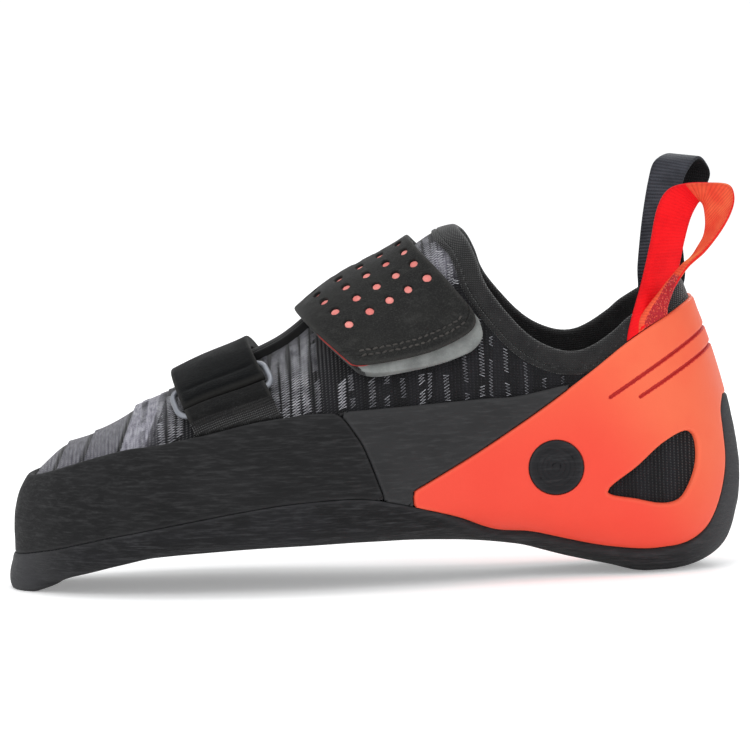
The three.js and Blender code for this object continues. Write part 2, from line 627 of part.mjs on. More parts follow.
// The ring lies in the same wound grid: a rounded rectangle a little longer than the strap is wide, from its
// upper bar in the strap to its lower bar beyond the strap's end
const RING = { upper: 20.5, lower: 2.8, front: -0.075, rear: 1.06, bendAcross: 0.1, bendAlong: 0.33, bend: 3 };
function ringPath() {
  const path = [];
  const corner = (a, share, from) => {
    for (let i = 0; i <= RING.bend; i++) {
      const angle = from + ((Math.PI / 2) * i) / RING.bend;
      path.push([a + Math.cos(angle) * RING.bendAcross, share + Math.sin(angle) * RING.bendAlong]);
    }
  };
  const [lowA, highA] = [RING.front + RING.bendAcross, RING.rear - RING.bendAcross];
  const [low, high] = [RING.bendAlong, 1 - RING.bendAlong];
  corner(highA, high, 0);
  for (const t of [0.25, 0.5, 0.75]) path.push([mix(highA, lowA, t), 1]);
  corner(lowA, high, Math.PI / 2);
  corner(lowA, low, Math.PI);
  for (const t of [0.25, 0.5, 0.75]) path.push([mix(lowA, highA, t), 0]);
  corner(highA, low, (Math.PI * 3) / 2);
  return path.map(([a, share]) => {
    const { point, normal } = frontPlace(a, mix(RING.upper, FRONT_OUTER_END(a) + RING.lower, share));
    const upper = frontBed(a, RING.upper) + FRONT_STRAP_WALL / 2;
    const lower = STRAP_BED + KEEPER_FOLD / 2;
    return { point: point.addScaledVector(normal, mix(upper, lower, share)), normal };
  });
}

// A closed tube along the ring's points
function ringSolid(radius, sides) {
  const path = ringPath();
  const n = path.length;
  const points = [];
  path.forEach(({ point, normal }, i) => {
    const along = path[(i + 1) % n].point.clone().sub(path[(i + n - 1) % n].point).normalize();
    const across = along.clone().cross(normal).normalize();
    const up = across.clone().cross(along).normalize();
    for (let s = 0; s < sides; s++) {
      const angle = (2 * Math.PI * (s + 0.5)) / sides;
      const offset = across.clone().multiplyScalar(Math.cos(angle) * radius);
      points.push(point.clone().add(offset).addScaledVector(up, Math.sin(angle) * radius).toArray());
    }
  });
  const triangles = [];
  for (let i = 0; i < n; i++) {
    for (let s = 0; s < sides; s++) {
      const [a, b] = [i * sides + s, i * sides + ((s + 1) % sides)];
      const [c, d] = [((i + 1) % n) * sides + s, ((i + 1) % n) * sides + ((s + 1) % sides)];
      triangles.push([a, b, d], [a, d, c]);
    }
  }
  return facingOut(points, triangles);
}

// The keeper folds round the ring's lower bar and is sewn down above the toe rand
const KEEPER = { top: 0.6, fold: 5.3, frontEnd: 47, rearEnd: 56, narrow: 0.1 }; // top and fold from the strap's end
function makeKeeper() {
  const spread = (a, t) => {
    const end = mix(KEEPER.frontEnd, KEEPER.rearEnd, a);
    const [top, fold] = [FRONT_OUTER_END(a) + KEEPER.top, FRONT_OUTER_END(a) + KEEPER.fold];
    return t < 0.5 ? mix(top, fold, t * 2) : mix(fold, end, t * 2 - 1);
  };
  const thick = (t) => (t <= 0.5 ? KEEPER_FOLD : mix(KEEPER_FOLD, KEEPER_WALL, ease((t - 0.5) * 8)));
  const keeper = strapSolid({
    columns: steps(0, 0.97, 4),
    rows: [0, 0.06, 0.44, 0.5, 0.56, 0.62, 0.8, 1],
    place: (a, t) => frontPlace(a * (1 - KEEPER.narrow * Math.max(0, t - 0.5)), spread(a, t)),
    inner: (a, t) => STRAP_BED + (t === 0 ? 0.8 : 0),
    outer: (a, t) => STRAP_BED + thick(t) - (t === 0 ? 0.8 : 0),
  });
  return keeper.subtract(toeBlock(GAP)).subtract(ringSolid(WIRE / 2 + GAP, 6));
}

// Webbing along the ridge, from under the front strap to the main strap's pad
const makeWebbing = () =>
  strapSolid({
    columns: steps(FRONT.rear - 0.03, MAIN.front - 0.003, 5),
    rows: steps(-WEBBING_WIDTH / 2, WEBBING_WIDTH / 2, 4),
    place: (u, b) => wrap(u, 0.7, b),
    inner: () => STRAP_BED + GAP,
    outer: (u, b) => STRAP_BED + GAP + WEBBING_WALL * (1 - 0.5 * (Math.abs(b) / (WEBBING_WIDTH / 2)) ** 3),
  });

// Tape loops: rows of [along, side, height] of the tape's one edge, then of its other edge
const LOOP_OUTER = [
  [0.85, -0.43, 0.838, 0.9, -0.345, 0.884], [0.869, -0.405, 0.986, 0.917, -0.312, 0.986],
  [0.883, -0.422, 1.122, 0.93, -0.352, 1.123], [0.894, -0.438, 1.243, 0.939, -0.391, 1.203],
  [0.909, -0.453, 1.306, 0.948, -0.438, 1.251], [0.933, -0.5, 1.327, 0.953, -0.469, 1.265],
  [0.964, -0.562, 1.329, 0.956, -0.492, 1.252], [0.988, -0.609, 1.322, 0.957, -0.516, 1.226],
  [0.994, -0.648, 1.288, 0.957, -0.539, 1.183], [0.99, -0.672, 1.242, 0.953, -0.562, 1.144],
  [0.976, -0.68, 1.18, 0.944, -0.562, 1.108], [0.953, -0.672, 1.109, 0.935, -0.539, 1.075],
  [0.93, -0.633, 1.056, 0.924, -0.508, 1.051], [0.915, -0.562, 0.996, 0.906, -0.461, 1.0],
  [0.91, -0.435, 0.938, 0.886, -0.44, 0.943], [0.907, -0.375, 0.857, 0.866, -0.455, 0.874],
];
const LOOP_INNER = [
  [0.87, 0.32, 0.886, 0.914, 0.22, 0.911], [0.873, 0.305, 0.955, 0.919, 0.203, 0.966],
  [0.876, 0.305, 1.049, 0.923, 0.234, 1.054], [0.884, 0.312, 1.193, 0.931, 0.266, 1.197],
  [0.894, 0.328, 1.316, 0.941, 0.297, 1.302], [0.903, 0.352, 1.377, 0.951, 0.328, 1.352],
  [0.921, 0.406, 1.398, 0.965, 0.375, 1.384], [0.935, 0.469, 1.384, 0.976, 0.438, 1.364],
  [0.941, 0.5, 1.341, 0.982, 0.477, 1.32], [0.93, 0.5, 1.271, 0.971, 0.477, 1.261],
  [0.902, 0.475, 1.152, 0.943, 0.44, 1.146], [0.9, 0.44, 1.033, 0.94, 0.36, 1.04],
  [0.903, 0.41, 0.949, 0.943, 0.3, 0.964], [0.899, 0.385, 0.88, 0.937, 0.28, 0.9],
];
function makeLoop(table) {
  const vector = (u, w, h) => new THREE.Vector3(alongX(u), w * localWidth(u), h * localHeight(u));
  const rows = smooth(table, false, 2).map((row) => [vector(...row.slice(0, 3)), vector(...row.slice(3))]);
  const middle = rows.map(([a, b]) => a.clone().lerp(b, 0.5));
  const points = [];
  rows.forEach(([a, b], i) => {
    const along = middle[Math.min(rows.length - 1, i + 1)].clone().sub(middle[Math.max(0, i - 1)]);
    const face = along.cross(b.clone().sub(a)).normalize().multiplyScalar(TAPE_WALL / 2);
    points.push(...[a.clone().sub(face), b.clone().sub(face), b.clone().add(face), a.clone().add(face)]);
  });
  const triangles = [[0, 1, 2], [0, 2, 3]];
  const end = points.length - 4;
  triangles.push([end, end + 2, end + 1], [end, end + 3, end + 2]);
  for (let i = 0; i < rows.length - 1; i++) {
    for (let s = 0; s < 4; s++) {
      const [a, b] = [i * 4 + s, i * 4 + ((s + 1) % 4)];
      triangles.push([a, a + 4, b + 4], [a, b + 4, b]);
    }
  }
  const tape = facingOut(points.map((p) => p.toArray()), triangles);
  const wall = form(UPPER_WALL + BINDING_STEP + GAP).subtract(form(-BINDING_STEP - GAP));
  const rand = form(SIDE_BUILD + GAP).intersect(heelBlock(GAP));
  return tape.subtract(wall.subtract(collarBlock(-GAP))).subtract(rand);
}

const COLOURS = {
  knit: [0x2b2b2f, 0.9],
  binding: [0x1c1c1e, 0.85],
  rubber: [0x242426, 0.7],
  rand: [0x343436, 0.6],
  coral: [0xf5583c, 0.5],
  leather: [0x2c2b2a, 0.65],
  pad: [0x8a8c8c, 0.6],
  wire: [0x3c3f45, 0.35],
  webbing: [0x1b1b1d, 0.9],
  tape: [0xe8321e, 0.6],
  darkTape: [0x3a3e45, 0.75],
  insole: [0x1a1a1c, 0.9],
};

const shoe = new THREE.Group();
function add(name, solid, colour) {
  const { vertProperties, triVerts } = solid.getMesh();
  const geometry = new THREE.BufferGeometry();
  geometry.setAttribute('position', new THREE.BufferAttribute(new Float32Array(vertProperties), 3));
  geometry.setIndex(new THREE.BufferAttribute(new Uint32Array(triVerts), 1));
  geometry.computeVertexNormals();
  const [hex, roughness] = COLOURS[colour];
  const metalness = colour === 'wire' ? 0.8 : 0;
  const mesh = new THREE.Mesh(geometry, new THREE.MeshStandardMaterial({ color: hex, roughness, metalness }));
  mesh.name = name;
  shoe.add(mesh);
}

add('outsole', makeOutsole(), 'rubber');
add('insole', makeInsole(), 'insole');
add('upper', makeUpper(), 'knit');
add('collar_binding', makeBinding(), 'binding');
add('toe_rand', makeToeRand(), 'rand');
add('side_panel_outer', makePanel(-1), 'rand');
add('side_panel_inner', makePanel(1), 'rand');
add('heel_rand', makeHeelRand(), 'coral');
add('grip_dot', makeDot(), 'rubber');
add('strap_pad', makeStrapPad(), 'pad');
add('main_strap', makeMainStrap(), 'leather');
add('front_strap', makeFrontStrap(), 'leather');
add('ring', ringSolid(WIRE / 2, 6), 'wire');
add('ring_keeper', makeKeeper(), 'leather');
add('instep_webbing', makeWebbing(), 'webbing');
add('pull_loop_outer', makeLoop(LOOP_OUTER), 'tape');
add('pull_loop_inner', makeLoop(LOOP_INNER), 'darkTape');

// The shoe's frame has its origin at the middle of the shoe's box, on the floor
const box = new THREE.Box3().setFromObject(shoe);
const part = new THREE.Group();
shoe.position.set(-(box.min.x + box.max.x) / 2, -(box.min.y + box.max.y) / 2, -box.min.z);
part.add(shoe);

export default part;
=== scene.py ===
import math

import bpy
import numpy as np
from mathutils import Matrix, Vector


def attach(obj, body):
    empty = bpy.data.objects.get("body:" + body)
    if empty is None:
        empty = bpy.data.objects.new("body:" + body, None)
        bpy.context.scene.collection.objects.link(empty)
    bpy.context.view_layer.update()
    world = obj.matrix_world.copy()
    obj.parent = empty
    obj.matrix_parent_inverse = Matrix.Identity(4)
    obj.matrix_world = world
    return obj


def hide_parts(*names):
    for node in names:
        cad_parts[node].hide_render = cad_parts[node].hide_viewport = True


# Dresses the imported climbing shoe: smooth rubber, knit, leather and tape over the same last as the solids.
# Shapes are worked out in millimetres in the last's own frame and placed in the row frame in metres.
# The toe is towards -X, the outer side of the foot towards -Y, the floor is z = 0.

MM = 0.001

# Driving dimensions and walls, the same as the solids'
LENGTH = 250.0
BALL_WIDTH = 90.0
HEEL_WIDTH = 64.0
INSTEP_HEIGHT = 120.0
HEEL_HEIGHT = 100.0
UPPER_WALL = 2.0
RAND_WALL = 2.0
SOLE_WALL = 4.5
SOLE_SIDE = 2.3
SOLE_TOE = 4.8
TOE_FLARE = 15.0
INSOLE_WALL = 1.8
GAP = 0.3
STRAP_GAP = 0.8
BINDING_WIDTH = 8.0
BINDING_STEP = 0.8
COLLAR_TILT = 0.06
FLOOR_MARGIN = 12.0
BED_MARGIN = 7.0
GROOVE_DEPTH = 1.0
DOT_RADIUS = 9.5
DOT_DEPTH = 1.2
STRAP_WALL = 2.0
FRONT_STRAP_WALL = 4.2
WEBBING_WALL = 2.6
WEBBING_WIDTH = 9.0
KEEPER_WALL = 1.8
KEEPER_FOLD = 4.6
WIRE = 2.0
TAPE_WALL = 1.3
SIDE_BUILD = UPPER_WALL + GAP + RAND_WALL
FLOOR_BUILD = UPPER_WALL + GAP + SOLE_WALL
STRAP_BED = UPPER_WALL + STRAP_GAP
RAND_BED = UPPER_WALL + GAP
SEAM = 0.12

# The sole at the toe: how much fuller its corner is, and how it rises behind its flat
TOE_FOOT = 3.5
TOE_FLAT = -117.0
TOE_RISE = 0.34
TOE_RISE_END = -97.0

# Fineness of the smooth surfaces
TOE_RIBS = 84
SIDE_RIBS = 140
HEEL_RIBS = 70
RIB_POINTS = 101

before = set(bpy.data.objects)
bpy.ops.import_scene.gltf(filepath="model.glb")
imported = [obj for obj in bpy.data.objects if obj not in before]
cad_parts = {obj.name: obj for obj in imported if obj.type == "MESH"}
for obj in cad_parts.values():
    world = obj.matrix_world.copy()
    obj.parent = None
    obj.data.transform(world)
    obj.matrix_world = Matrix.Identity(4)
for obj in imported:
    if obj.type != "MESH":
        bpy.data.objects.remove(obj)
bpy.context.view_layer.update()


def ease(t):
    c = np.clip(t, 0.0, 1.0)
    return c * c * (3 - 2 * c)


def mix(a, b, t):
    return a + (b - a) * t


def rear_share(u):
    return ease((u - 0.6) / 0.2)


def local_height(u):
    return mix(INSTEP_HEIGHT, HEEL_HEIGHT, rear_share(u))


def local_width(u):
    return mix(BALL_WIDTH, HEEL_WIDTH, rear_share(u))


def along_x(u):
    return (np.asarray(u, float) - 0.5) * LENGTH


def share_of(x):
    return np.asarray(x, float) / LENGTH + 0.5


def curve(rows):
    """A smooth curve through a table's rows (along, value), with no overshoot."""
    us, vs = np.array(rows, float).T
    h = np.diff(us)
    slope = np.diff(vs) / h
    tangent = np.concatenate([slope[:1], np.zeros(len(us) - 2), slope[-1:]])
    for i in range(1, len(us) - 1):
        a, b = slope[i - 1], slope[i]
        tangent[i] = 0 if a * b <= 0 else 2 * a * b / (a + b)

    def at(u):
        u = np.clip(u, us[0], us[-1])
        i = np.clip(np.searchsorted(us, u, side="right") - 1, 0, len(h) - 1)
        t = (u - us[i]) / h[i]
        return (
            (1 + 2 * t) * (1 - t) ** 2 * vs[i]
            + t * (1 - t) ** 2 * h[i] * tangent[i]
            + t * t * (3 - 2 * t) * vs[i + 1]
            + t * t * (t - 1) * h[i] * tangent[i + 1]
        )

    return at


def smooth(points, closed, steps):
    """Catmull-Rom points through a list of points, open or closed."""
    p = np.array(points, float)
    n = len(p)

    def at(i):
        return p[i % n] if closed else p[min(n - 1, max(0, i))]

    out = []
    for i in range(n if closed else n - 1):
        p0, p1, p2, p3 = at(i - 1), at(i), at(i + 1), at(i + 2)
        for s in range(steps):
            t = s / steps
            cubic = 3 * (p1 - p2) + p3 - p0
            square = 2 * p0 - 5 * p1 + 4 * p2 - p3
            out.append(p1 + 0.5 * t * (p2 - p0 + t * (square + t * cubic)))
    if not closed:
        out.append(p[-1])
    return np.array(out)


def shifted(points, distance, closed=False):
    """Points moved to the right of their direction of travel, so that each edge moves by the distance."""
    p = np.array(points, float)
    step = np.roll(p, -1, 0) - p
    side = np.stack([step[:, 1], -step[:, 0]], 1)
    side /= np.maximum(1e-9, np.linalg.norm(side, axis=1))[:, None]
    before = np.roll(side, 1, 0)
    if not closed:
        side[-1] = side[-2]
        before[0] = side[0]
    scale = distance / np.maximum(0.3, 1 + (side * before).sum(1))
    return p + (side + before) * scale[:, None]


# The last, seen from above: (along, side) of the shoe's edge, round from the toe by the outer side
PLAN = [
    (0, 0.155), (0.007, 0.022), (0.032, -0.111), (0.08, -0.261), (0.168, -0.4), (0.272, -0.478),
    (0.388, -0.511), (0.504, -0.478), (0.624, -0.416), (0.744, -0.478), (0.844, -0.5), (0.924, -0.405),
    (0.976, -0.22), (1, 0), (0.976, 0.22), (0.924, 0.4), (0.844, 0.49), (0.744, 0.442),
    (0.624, 0.32), (0.504, 0.356), (0.388, 0.428), (0.296, 0.476), (0.192, 0.467), (0.1, 0.422),
    (0.036, 0.344), (0.007, 0.267),
]
# Down the length: (along, height or exponent or side)
RIDGE = curve([
    (0.018, 0.34), (0.048, 0.365), (0.08, 0.408), (0.12, 0.439), (0.152, 0.472), (0.2, 0.53),
    (0.228, 0.555), (0.28, 0.596), (0.34, 0.633), (0.38, 0.669), (0.404, 0.7), (0.48, 0.828),
    (0.56, 0.935), (0.596, 0.983), (0.62, 1.002), (0.66, 1.032), (0.8, 1.16), (1, 1.14),
])
SOLE = curve([
    (0, -0.035), (0.02, -0.03), (0.036, -0.016), (0.055, 0.018), (0.092, 0.05), (0.128, 0.068),
    (0.164, 0.086), (0.2, 0.1), (0.268, 0.109), (0.404, 0.117), (0.532, 0.118), (0.604, 0.111),
    (0.692, 0.096), (0.772, 0.049), (0.822, 0.02), (0.868, -0.009), (0.904, -0.012), (1, -0.012),
])
BELLY = curve([
    (0, 0.125), (0.096, 0.158), (0.18, 0.192), (0.28, 0.225), (0.4, 0.242), (0.54, 0.258),
    (0.66, 0.277), (0.78, 0.338), (1, 0.34),
])
RIDGE_SIDE = curve([(0.1, 0.09), (0.2, 0.075), (0.3, 0.06), (0.5, 0.04), (0.7, 0.015), (0.87, 0)])
CROWN = curve([(0.1, 2.6), (0.25, 2.2), (0.45, 1.9), (0.6, 2.1), (0.75, 2.7), (0.87, 3)])
EDGE = curve([(0.1, 5.5), (0.25, 4), (0.4, 3.4), (0.65, 3), (0.87, 2.7)])
TOE_CROWN = 3.2
TOE_EDGE = 8.0
HEEL_CROWN = 1.45
TOE_ANCHOR = 0.1
HEEL_ANCHOR = 0.872


def top_of(u):
    return RIDGE(u) * local_height(u) - UPPER_WALL * 1.15


def belly_of(u):
    return BELLY(u) * local_height(u)


def floor_of(u):
    return SOLE(u) * local_height(u) + FLOOR_BUILD


plan_edge = smooth([(along_x(u), w * local_width(u)) for u, w in PLAN], True, 12)


def plan_inset(distance):
    moved = shifted(plan_edge, -distance, True)
    near = np.linalg.norm(moved[:, None] - plan_edge[None], axis=2).min(1)
    return moved[near > distance - 0.05]


last_edge = plan_inset(SIDE_BUILD)


def reach(ax, ay, dx, dy):
    """Distance from anchors to the last's edge, each in its direction."""
    ax, ay, dx, dy = (np.atleast_1d(c)[:, None] for c in np.broadcast_arrays(ax, ay, dx, dy))
    px, py = last_edge.T
    ex, ey = (np.roll(last_edge, -1, 0) - last_edge).T
    det = ex * dy - ey * dx
    det = np.where(np.abs(det) < 1e-9, 1e-9, det)
    t = (ex * (py - ay) - ey * (px - ax)) / det
    s = (dx * (py - ay) - dy * (px - ax)) / det
    return np.where((s >= -1e-9) & (s <= 1 + 1e-9), t, 0).max(1)


def rib_points(ax, ay, dx, dy, far, crown, edge, v):
    """Points of half sections: v is 0 under the foot, 0.5 at the widest and 1 on the ridge."""
    turn = (v - 0.5) * math.pi
    power = 2 / np.where(turn < 0, edge, crown)
    out = np.maximum(0, np.cos(turn)) ** power * far
    rise = np.abs(np.sin(turn)) ** power
    x = ax + dx * out
    u = share_of(x)
    z = mix(belly_of(u), np.where(turn < 0, floor_of(u), top_of(u)), rise)
    return np.stack(np.broadcast_arrays(x, ay + dy * out, z), -1)


def rib_shape(u, angle):
    """Anchor, direction, reach and exponents of half sections."""
    ax, ay = along_x(u), RIDGE_SIDE(u) * local_width(u)
    dx, dy = np.cos(angle), np.sin(angle)
    crown = mix(CROWN(u), np.where(dx < 0, TOE_CROWN, HEEL_CROWN), dx * dx)
    edge = mix(EDGE(u), np.where(dx < 0, TOE_EDGE, EDGE(u)), dx * dx)
    return ax, ay, dx, dy, reach(ax, ay, dx, dy), crown, edge


# Reach of the plain side sections, on the outer and the inner side, by place along the shoe
SIDE_X = np.arange(along_x(0.02), along_x(0.985), 0.5)
SIDE_Y = RIDGE_SIDE(share_of(SIDE_X)) * local_width(share_of(SIDE_X))
SIDE_REACH = {s: reach(SIDE_X, SIDE_Y, 0.0, -float(s)) for s in (1, -1)}


def side_surface(x, v, side):
    """Points of the last on its outer (1) or inner (-1) side, by place along and up it."""
    u = share_of(x)
    far = np.interp(x, SIDE_X, SIDE_REACH[side])
    return rib_points(x, RIDGE_SIDE(u) * local_width(u), 0.0, -side, far, CROWN(u), EDGE(u), v)


def unit(v):
    return v / np.maximum(1e-12, np.linalg.norm(v, axis=-1, keepdims=True))


class Patch:
    """Triangles with named values at each point; point and normal are two of them."""

    def __init__(self, faces, **values):
        self.faces = np.asarray(faces, int)
        self.values = {k: np.asarray(v, float) for k, v in values.items()}

    def __getitem__(self, name):
        return self.values[name]

    def with_values(self, **values):
        return Patch(self.faces, **{**self.values, **values})

    def split(self, field, *levels):
        """Triangles are cut along the lines where the named field has these levels."""
        patch = self
        for level in levels:
            patch = patch.cut(field, level)
        return patch

    def cut(self, field, level):
        f = self.values[field] - level
        f = np.where(np.abs(f) < 1e-4, 1e-4, f)
        up = f[self.faces] > 0
        count = up.sum(1)
        whole = self.faces[(count == 0) | (count == 3)]
        mixed = self.faces[(count == 1) | (count == 2)]
        if not len(mixed):
            return self
        lone = (f[mixed] > 0) == (((f[mixed] > 0).sum(1) == 1)[:, None])
        first = lone.argmax(1)
        rows = np.arange(len(mixed))
        a, b, c = (mixed[rows, (first + k) % 3] for k in range(3))
        pairs = np.sort(np.concatenate([np.stack([a, b], 1), np.stack([a, c], 1)]), 1)
        edges, where = np.unique(pairs, axis=0, return_inverse=True)
        where = where.ravel()
        i, j = edges.T
        t = f[i] / (f[i] - f[j])
        made = {}
        for name, value in self.values.items():
            share = t if value.ndim == 1 else t[:, None]
            between = value[i] + (value[j] - value[i]) * share
            if name.startswith("normal"):
                between = unit(between)
            made[name] = np.concatenate([value, between])
        made[field][len(f):] = level
        ab = len(f) + where[: len(mixed)]
        ac = len(f) + where[len(mixed):]
        faces = np.concatenate([
            whole,
            np.stack([a, ab, ac], 1),
            np.stack([ab, b, c], 1),
            np.stack([ab, c, ac], 1),
        ])
        return Patch(faces, **made)

    def keep(self, mask):
        """Only these faces, and only the points that they use."""
        faces = self.faces[mask]
        used, index = np.unique(faces, return_inverse=True)
        return Patch(index.reshape(-1, 3), **{k: v[used] for k, v in self.values.items()})

    def above(self, field, level=0.0):
        cut = self.cut(field, level)
        return cut.keep(cut.mean(field) > level)

    def mean(self, name):
        """A value for each face."""
        return self.values[name][self.faces].mean(1)


def build_last():
    """The closed last as one patch: points, normals, arc length down from the ridge and plan inset."""
    half = math.pi / 2
    toe = np.arange(TOE_RIBS // 2) * math.pi / TOE_RIBS
    heel = np.arange(HEEL_RIBS) * math.pi / HEEL_RIBS
    side = mix(TOE_ANCHOR, HEEL_ANCHOR, np.arange(SIDE_RIBS) / SIDE_RIBS)
    back = mix(HEEL_ANCHOR, TOE_ANCHOR, np.arange(SIDE_RIBS) / SIDE_RIBS)
    at_toe, at_heel = np.full(len(toe), TOE_ANCHOR), np.full(len(heel), HEEL_ANCHOR)
    u = np.concatenate([at_toe, side, at_heel, back, at_toe])
    angle = np.concatenate([
        toe - math.pi, np.full(len(side), -half), heel - half, np.full(len(back), half), toe + half,
    ])
    shape = [c[:, None] for c in rib_shape(u, angle)]
    fine = 420
    v = np.linspace(0, 1, fine + 1)[None]
    points = rib_points(*shape, v)
    step = np.diff(points, axis=1)
    length = np.linalg.norm(step, axis=2)
    out = np.linalg.norm(step[..., :2], axis=2) * np.sign(0.5 - (np.arange(fine) + 0.5) / fine)[None]
    heading = np.arctan2(step[..., 2], out)
    bend = np.abs(np.diff(heading, axis=1, prepend=heading[:, :1]))
    bend = np.minimum(bend, 2 * math.pi - bend)
    arc = np.concatenate([np.zeros((len(u), 1)), np.cumsum(length, 1)], 1)
    measure = np.concatenate([np.zeros((len(u), 1)), np.cumsum(length + 10 * bend, 1)], 1)
    grid = np.zeros((len(u), RIB_POINTS + 1, 3))
    down = np.zeros((len(u), RIB_POINTS + 1))
    for k in range(len(u)):
        goal = np.linspace(0, measure[k, -1], RIB_POINTS + 1)
        for axis in range(3):
            grid[k, :, axis] = np.interp(goal, measure[k], points[k, :, axis])
        down[k] = arc[k, -1] - np.interp(goal, measure[k], arc[k])
    flat = grid.reshape(-1, 3)
    _, first, index = np.unique(np.round(flat, 3), axis=0, return_index=True, return_inverse=True)
    index = index.reshape(len(u), RIB_POINTS + 1)
    a, b = index[:, :-1], np.roll(index, -1, 0)[:, :-1]
    c, d = np.roll(index, -1, 0)[:, 1:], index[:, 1:]
    faces = np.concatenate([np.stack([a, b, c], -1).reshape(-1, 3), np.stack([a, c, d], -1).reshape(-1, 3)])
    good = (faces[:, 0] != faces[:, 1]) & (faces[:, 1] != faces[:, 2]) & (faces[:, 2] != faces[:, 0])
    faces = faces[good]
    p = flat[first]
    n = np.zeros_like(p)
    area = np.cross(p[faces[:, 1]] - p[faces[:, 0]], p[faces[:, 2]] - p[faces[:, 0]])
    for k in range(3):
        np.add.at(n, faces[:, k], area)
    patch = Patch(faces, point=p, normal=unit(n), down=down.reshape(-1)[first])
    inset = inside(np.round(last_edge, 6), p[:, 0], p[:, 1])
    return patch.with_values(inset=inset)


def inside(outline, x, z):
    """Distance to a closed outline, positive inside it."""
    a = np.asarray(outline, float)
    b = np.roll(a, -1, 0)
    best = np.full(len(x), 1e18)
    odd = np.zeros(len(x), bool)
    for (x0, z0), (x1, z1) in zip(a, b):
        ex, ez = x1 - x0, z1 - z0
        size = max(1e-12, ex * ex + ez * ez)
        t = np.clip(((x - x0) * ex + (z - z0) * ez) / size, 0, 1)
        best = np.minimum(best, (x - x0 - t * ex) ** 2 + (z - z0 - t * ez) ** 2)
        if z0 != z1:
            crosses = ((z0 > z) != (z1 > z)) & (x < x0 + (z - z0) * ex / (z1 - z0))
            odd ^= crosses
    return np.where(odd, 1, -1) * np.sqrt(best)


# Side-view lines of the panels: rows of (along, height), from the toe to the heel
def side_line(rows, closed=False):
    return smooth([(along_x(u), h * local_height(u)) for u, h in rows], closed, 8)


BELOW = -30.0
BEHIND = LENGTH
AHEAD = -LENGTH
SOLE_EDGE = side_line([
    (-0.02, 0.09), (0.072, 0.136), (0.144, 0.172), (0.26, 0.218), (0.34, 0.246), (0.4, 0.26),
    (0.476, 0.264), (0.526, 0.247), (0.564, 0.224), (0.612, 0.192), (0.66, 0.152), (0.708, 0.149),
    (0.756, 0.128), (0.804, 0.103), (0.854, 0.087), (0.888, 0.087), (0.922, 0.099), (0.949, 0.142),
    (0.966, 0.213), (0.977, 0.302), (0.981, 0.382), (0.979, 0.472), (0.977, 0.543), (0.981, 0.59),
])
TOE_RAND_TOP = side_line([
    (-0.02, 0.31), (0.033, 0.335), (0.088, 0.373), (0.135, 0.402), (0.17, 0.42), (0.205, 0.43),
    (0.274, 0.457), (0.344, 0.488), (0.412, 0.506),
])
TOE_RAND_REAR = side_line([(0.447, 0.507), (0.46, 0.493), (0.476, 0.448), (0.49, 0.396), (0.512, 0.269)])
PANEL_TOP = side_line([
    (0.42, 0.507), (0.481, 0.511), (0.538, 0.516), (0.65, 0.54), (0.698, 0.575), (0.77, 0.66),
])
HEEL_RAND_TOP = side_line([
    (0.552, 0.276), (0.628, 0.364), (0.684, 0.459), (0.74, 0.58), (0.796, 0.704), (0.854, 0.809),
    (0.918, 0.9), (0.96, 0.955),
])
TEARDROP = side_line([
    (0.814, 0.298), (0.857, 0.381), (0.89, 0.449), (0.921, 0.487), (0.936, 0.474), (0.941, 0.422),
    (0.938, 0.357), (0.925, 0.287), (0.911, 0.252), (0.888, 0.246), (0.855, 0.266),
], True)
GROOVES = [((0.822, 0.617), (0.985, 0.87)), ((0.863, 0.614), (0.985, 0.795))]
DOT = (0.746, 0.374)
COLLAR = side_line([
    (0.59, 1.08), (0.622, 1.006), (0.638, 0.982), (0.65, 0.94), (0.658, 0.893), (0.672, 0.856),
    (0.702, 0.806), (0.727, 0.783), (0.756, 0.778), (0.781, 0.788), (0.804, 0.812), (0.831, 0.855),
    (0.851, 0.896), (0.896, 0.964), (0.932, 1.012), (1, 1.075),
])
SOLE_REGION = [
    *SOLE_EDGE, (BEHIND, SOLE_EDGE[-1][1]), (BEHIND, BELOW), (AHEAD, BELOW), (AHEAD, SOLE_EDGE[0][1]),
]
TOE_REGION = [
    *TOE_RAND_TOP, *TOE_RAND_REAR, (TOE_RAND_REAR[-1][0], BELOW), (AHEAD, BELOW), (AHEAD, TOE_RAND_TOP[0][1]),
]
HEEL_REGION = [
    *HEEL_RAND_TOP, (BEHIND, HEEL_RAND_TOP[-1][1]), (BEHIND, BELOW), (float(along_x(0.567)), BELOW),
]
PANEL_REGION = [*PANEL_TOP, (PANEL_TOP[-1][0], BELOW), (PANEL_TOP[0][0], BELOW)]
SKY = INSTEP_HEIGHT * 1.6
COLLAR_REGION = [*COLLAR, (BEHIND, COLLAR[-1][1]), (BEHIND, SKY), (COLLAR[0][0], SKY)]


ROW_SHIFT = np.array([0.618, 1.419, 0.0])


def row_place(points):
    """Points of the last's frame, in the row frame in metres."""
    return (np.asarray(points, float) + ROW_SHIFT) * MM


# Camera, light and floor
CAMERA_AWAY = 1800.0
CAMERA_RISE = math.radians(5.0)
CAMERA_ROLL = math.radians(2.2)
CAMERA_TARGET = (1.6, 0.0, 69.5)
PIXEL = 0.3425
FRAME_PIXELS = 750


